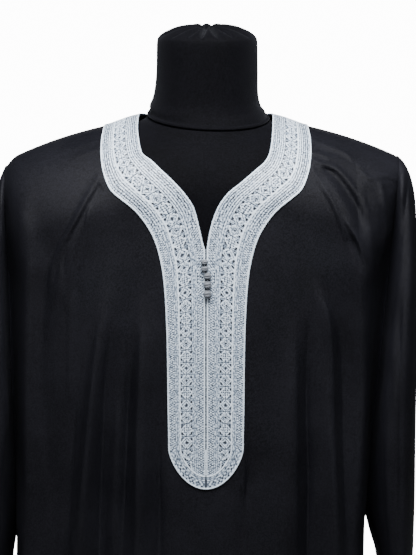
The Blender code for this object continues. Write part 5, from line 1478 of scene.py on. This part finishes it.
def cloth_material(name, weave, dark, light, roughness, pitch, depth, sheen, specular):
    """Woven cloth: flecks and slow patches between two near tones, slow changes of gloss, weave bump."""
    material, tree, shader = new_material(name)
    inputs = {"Vector": object_place(tree), "Pitch": pitch}
    grain = add_node(tree, "ShaderNodeGroup", inputs, node_tree=weave).outputs
    inputs = {0: grain["Speckle"], 1: scaled_sum(tree, grain["Cloudy"], PATCHES, -PATCHES / 2.0)}
    tone = add_node(tree, "ShaderNodeMath", inputs, operation="ADD", use_clamp=True).outputs[0]
    ends = {"To Min": roughness - GLOSS_RANGE, "To Max": roughness + GLOSS_RANGE}
    fill_inputs(tree, shader, {
        "Base Color": mixed_tone(tree, tone, dark, light),
        "Roughness": spread(tree, grain["Cloudy"], ends),
        "Normal": bump(tree, grain["Height"], 0.5, depth),
        "Sheen Weight": sheen,
        "Sheen Roughness": 0.45,
        "Sheen Tint": (0.80, 0.83, 0.95, 1.0),
        "Specular IOR Level": specular,
    })
    return material


def silver_material():
    """Silver-grey silk embroidery with flecks and blotches: painted shade in its holes and grooves and
    painted highlight on its cords, from the relief.
    """
    material, tree, shader = new_material("silver embroidery")
    place = add_node(tree, "ShaderNodeUVMap", uv_map="stitching").outputs["UV"]
    fine = add_node(tree, "ShaderNodeMapping", {"Vector": place, "Scale": THREAD_SCALE}).outputs["Vector"]
    thread = noise(tree, fine, 1.0, 2.0)
    flecks = spread(tree, thread, {"From Min": 0.36, "From Max": 0.64})
    # Painted shade and highlight from the relief, with random flecks of thread
    tone = scaled_sum(tree, flecks, 0.50, relief_for_painted_shade(tree))
    tone = scaled_sum(tree, noise(tree, place, 140.0, 3.0), 0.30, tone)
    tone = spread(tree, tone, {"From Min": 0.42, "From Max": 1.32})
    fill_inputs(tree, shader, {
        "Base Color": ramp_tone(tree, tone, SILVER_TONES_AND_SHADE),
        "Normal": bump(tree, thread, 0.6, 0.0003),
        "Roughness": 0.42,
        "Specular IOR Level": 0.5,
    })
    return material


def cord_material():
    """Grey silk cord with a fine twist, and painted shade in the hollows between its cords."""
    material, tree, shader = new_material("grey silk cord")
    inputs = {"Vector": object_place(tree), "Scale": 420.0, "Distortion": 1.0}
    twist = add_node(tree, "ShaderNodeTexWave", inputs, bands_direction="DIAGONAL").outputs["Fac"]
    fill_inputs(tree, shader, {
        "Base Color": ramp_tone(tree, scaled_sum(tree, twist, 0.20, relief_for_painted_shade(tree)), CORD_TONES_AND_SHADE),
        "Normal": bump(tree, twist, 0.5, 0.0003),
        "Roughness": 0.45,
    })
    return material


def painted_steel():
    """Dark semi-gloss paint with a faint orange-peel and slow changes of gloss."""
    material, tree, shader = new_material("dark painted steel")
    place = object_place(tree)
    cloud = noise(tree, place, 18.0, 2.0)
    fill_inputs(tree, shader, {
        "Base Color": mixed_tone(tree, cloud, (0.014, 0.014, 0.016), (0.030, 0.030, 0.033)),
        "Roughness": spread(tree, cloud, {"To Min": 0.28, "To Max": 0.46}),
        "Normal": bump(tree, noise(tree, place, 420.0, 2.0), 0.15, 0.0002),
    })
    return material


def paint_stand(steel):
    """The pole and the base keep their solids and take the painted finish."""
    for node in ("form_pole", "form_base"):
        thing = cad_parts[node]
        thing.data.materials.clear()
        thing.data.materials.append(steel)


def add_camera():
    """Camera level with the top of the form, a little above it, looking slightly down."""
    data = bpy.data.cameras.new("photo camera")
    data.sensor_width = SENSOR
    data.lens = FOCAL_PIXELS / PHOTO_HEIGHT * SENSOR
    data.clip_end = 60.0
    camera = add_object("photo camera", data)
    camera.location = CAMERA_PLACE
    camera.rotation_euler = (math.radians(90.0 - CAMERA_PITCH), 0.0, 0.0)
    bpy.context.scene.camera = camera


def add_light(name, place, aim, size, power):
    """A soft white area light that faces a point."""
    data = bpy.data.lights.new(name, "AREA")
    data.shape = "RECTANGLE"
    data.size, data.size_y = size
    data.energy = power
    light = add_object(name, data)
    light.location = place
    way = np.array(aim) - np.array(place)
    flat = math.hypot(way[0], way[1])
    light.rotation_euler = (math.atan2(flat, -way[2]), 0.0, math.atan2(way[1], way[0]) - math.pi / 2.0)


def add_studio():
    """White surroundings, a pale floor and soft lights: over the shoulders, in front and all round."""
    world = bpy.data.worlds.new("white studio")
    world.use_nodes = True
    tree = world.node_tree
    glow = tree.nodes["Background"]
    fill_inputs(tree, glow, {"Color": (0.93, 0.95, 1.0, 1.0), "Strength": WORLD_GLOW})
    shown = add_node(tree, "ShaderNodeBackground", {"Color": (1.0, 1.0, 1.0, 1.0), "Strength": WORLD_SHOWN})
    seen = tree.nodes.new("ShaderNodeLightPath").outputs["Is Camera Ray"]
    mix = add_node(tree, "ShaderNodeMixShader", {"Fac": seen, 1: glow.outputs[0], 2: shown.outputs[0]})
    fill_inputs(tree, tree.nodes["World Output"], {"Surface": mix.outputs["Shader"]})
    bpy.context.scene.world = world
    for name, place, aim, size, power in LIGHTS:
        add_light(name, place, aim, size, power)
    mesh = bpy.data.meshes.new("studio_floor")
    corners = [(-FLOOR_HALF, -FLOOR_HALF), (FLOOR_HALF, -FLOOR_HALF), (FLOOR_HALF, FLOOR_HALF),
               (-FLOOR_HALF, FLOOR_HALF)]
    mesh.from_pydata([(x, y, 0.0) for x, y in corners], [], [(0, 1, 2, 3)])
    floor = add_object("studio_floor", mesh)
    material, tree, shader = new_material("pale floor")
    fill_inputs(tree, shader, {"Base Color": (0.80, 0.80, 0.80, 1.0), "Roughness": 0.70})
    mesh.materials.append(material)


def main():
    """Builds every piece, the finishes, the camera and the studio."""
    weave = woven_group()
    crepe = cloth_material("black crepe", weave, *CREPE)
    jersey = cloth_material("black jersey", weave, *JERSEY)
    silver = silver_material()
    cord = cord_material()
    front = make_front(crepe)
    back = make_back(crepe)
    sleeves = [make_sleeve(side, crepe) for side in SIDE_SIGN]
    bands = [make_band_half(side, silver) for side in SIDE_SIGN]
    for number in range(len(BUTTONS)):
        make_button(number, cord)
    make_torso(jersey)
    make_neck_cover(jersey)
    paint_stand(painted_steel())
    add_camera()
    add_studio()


main()
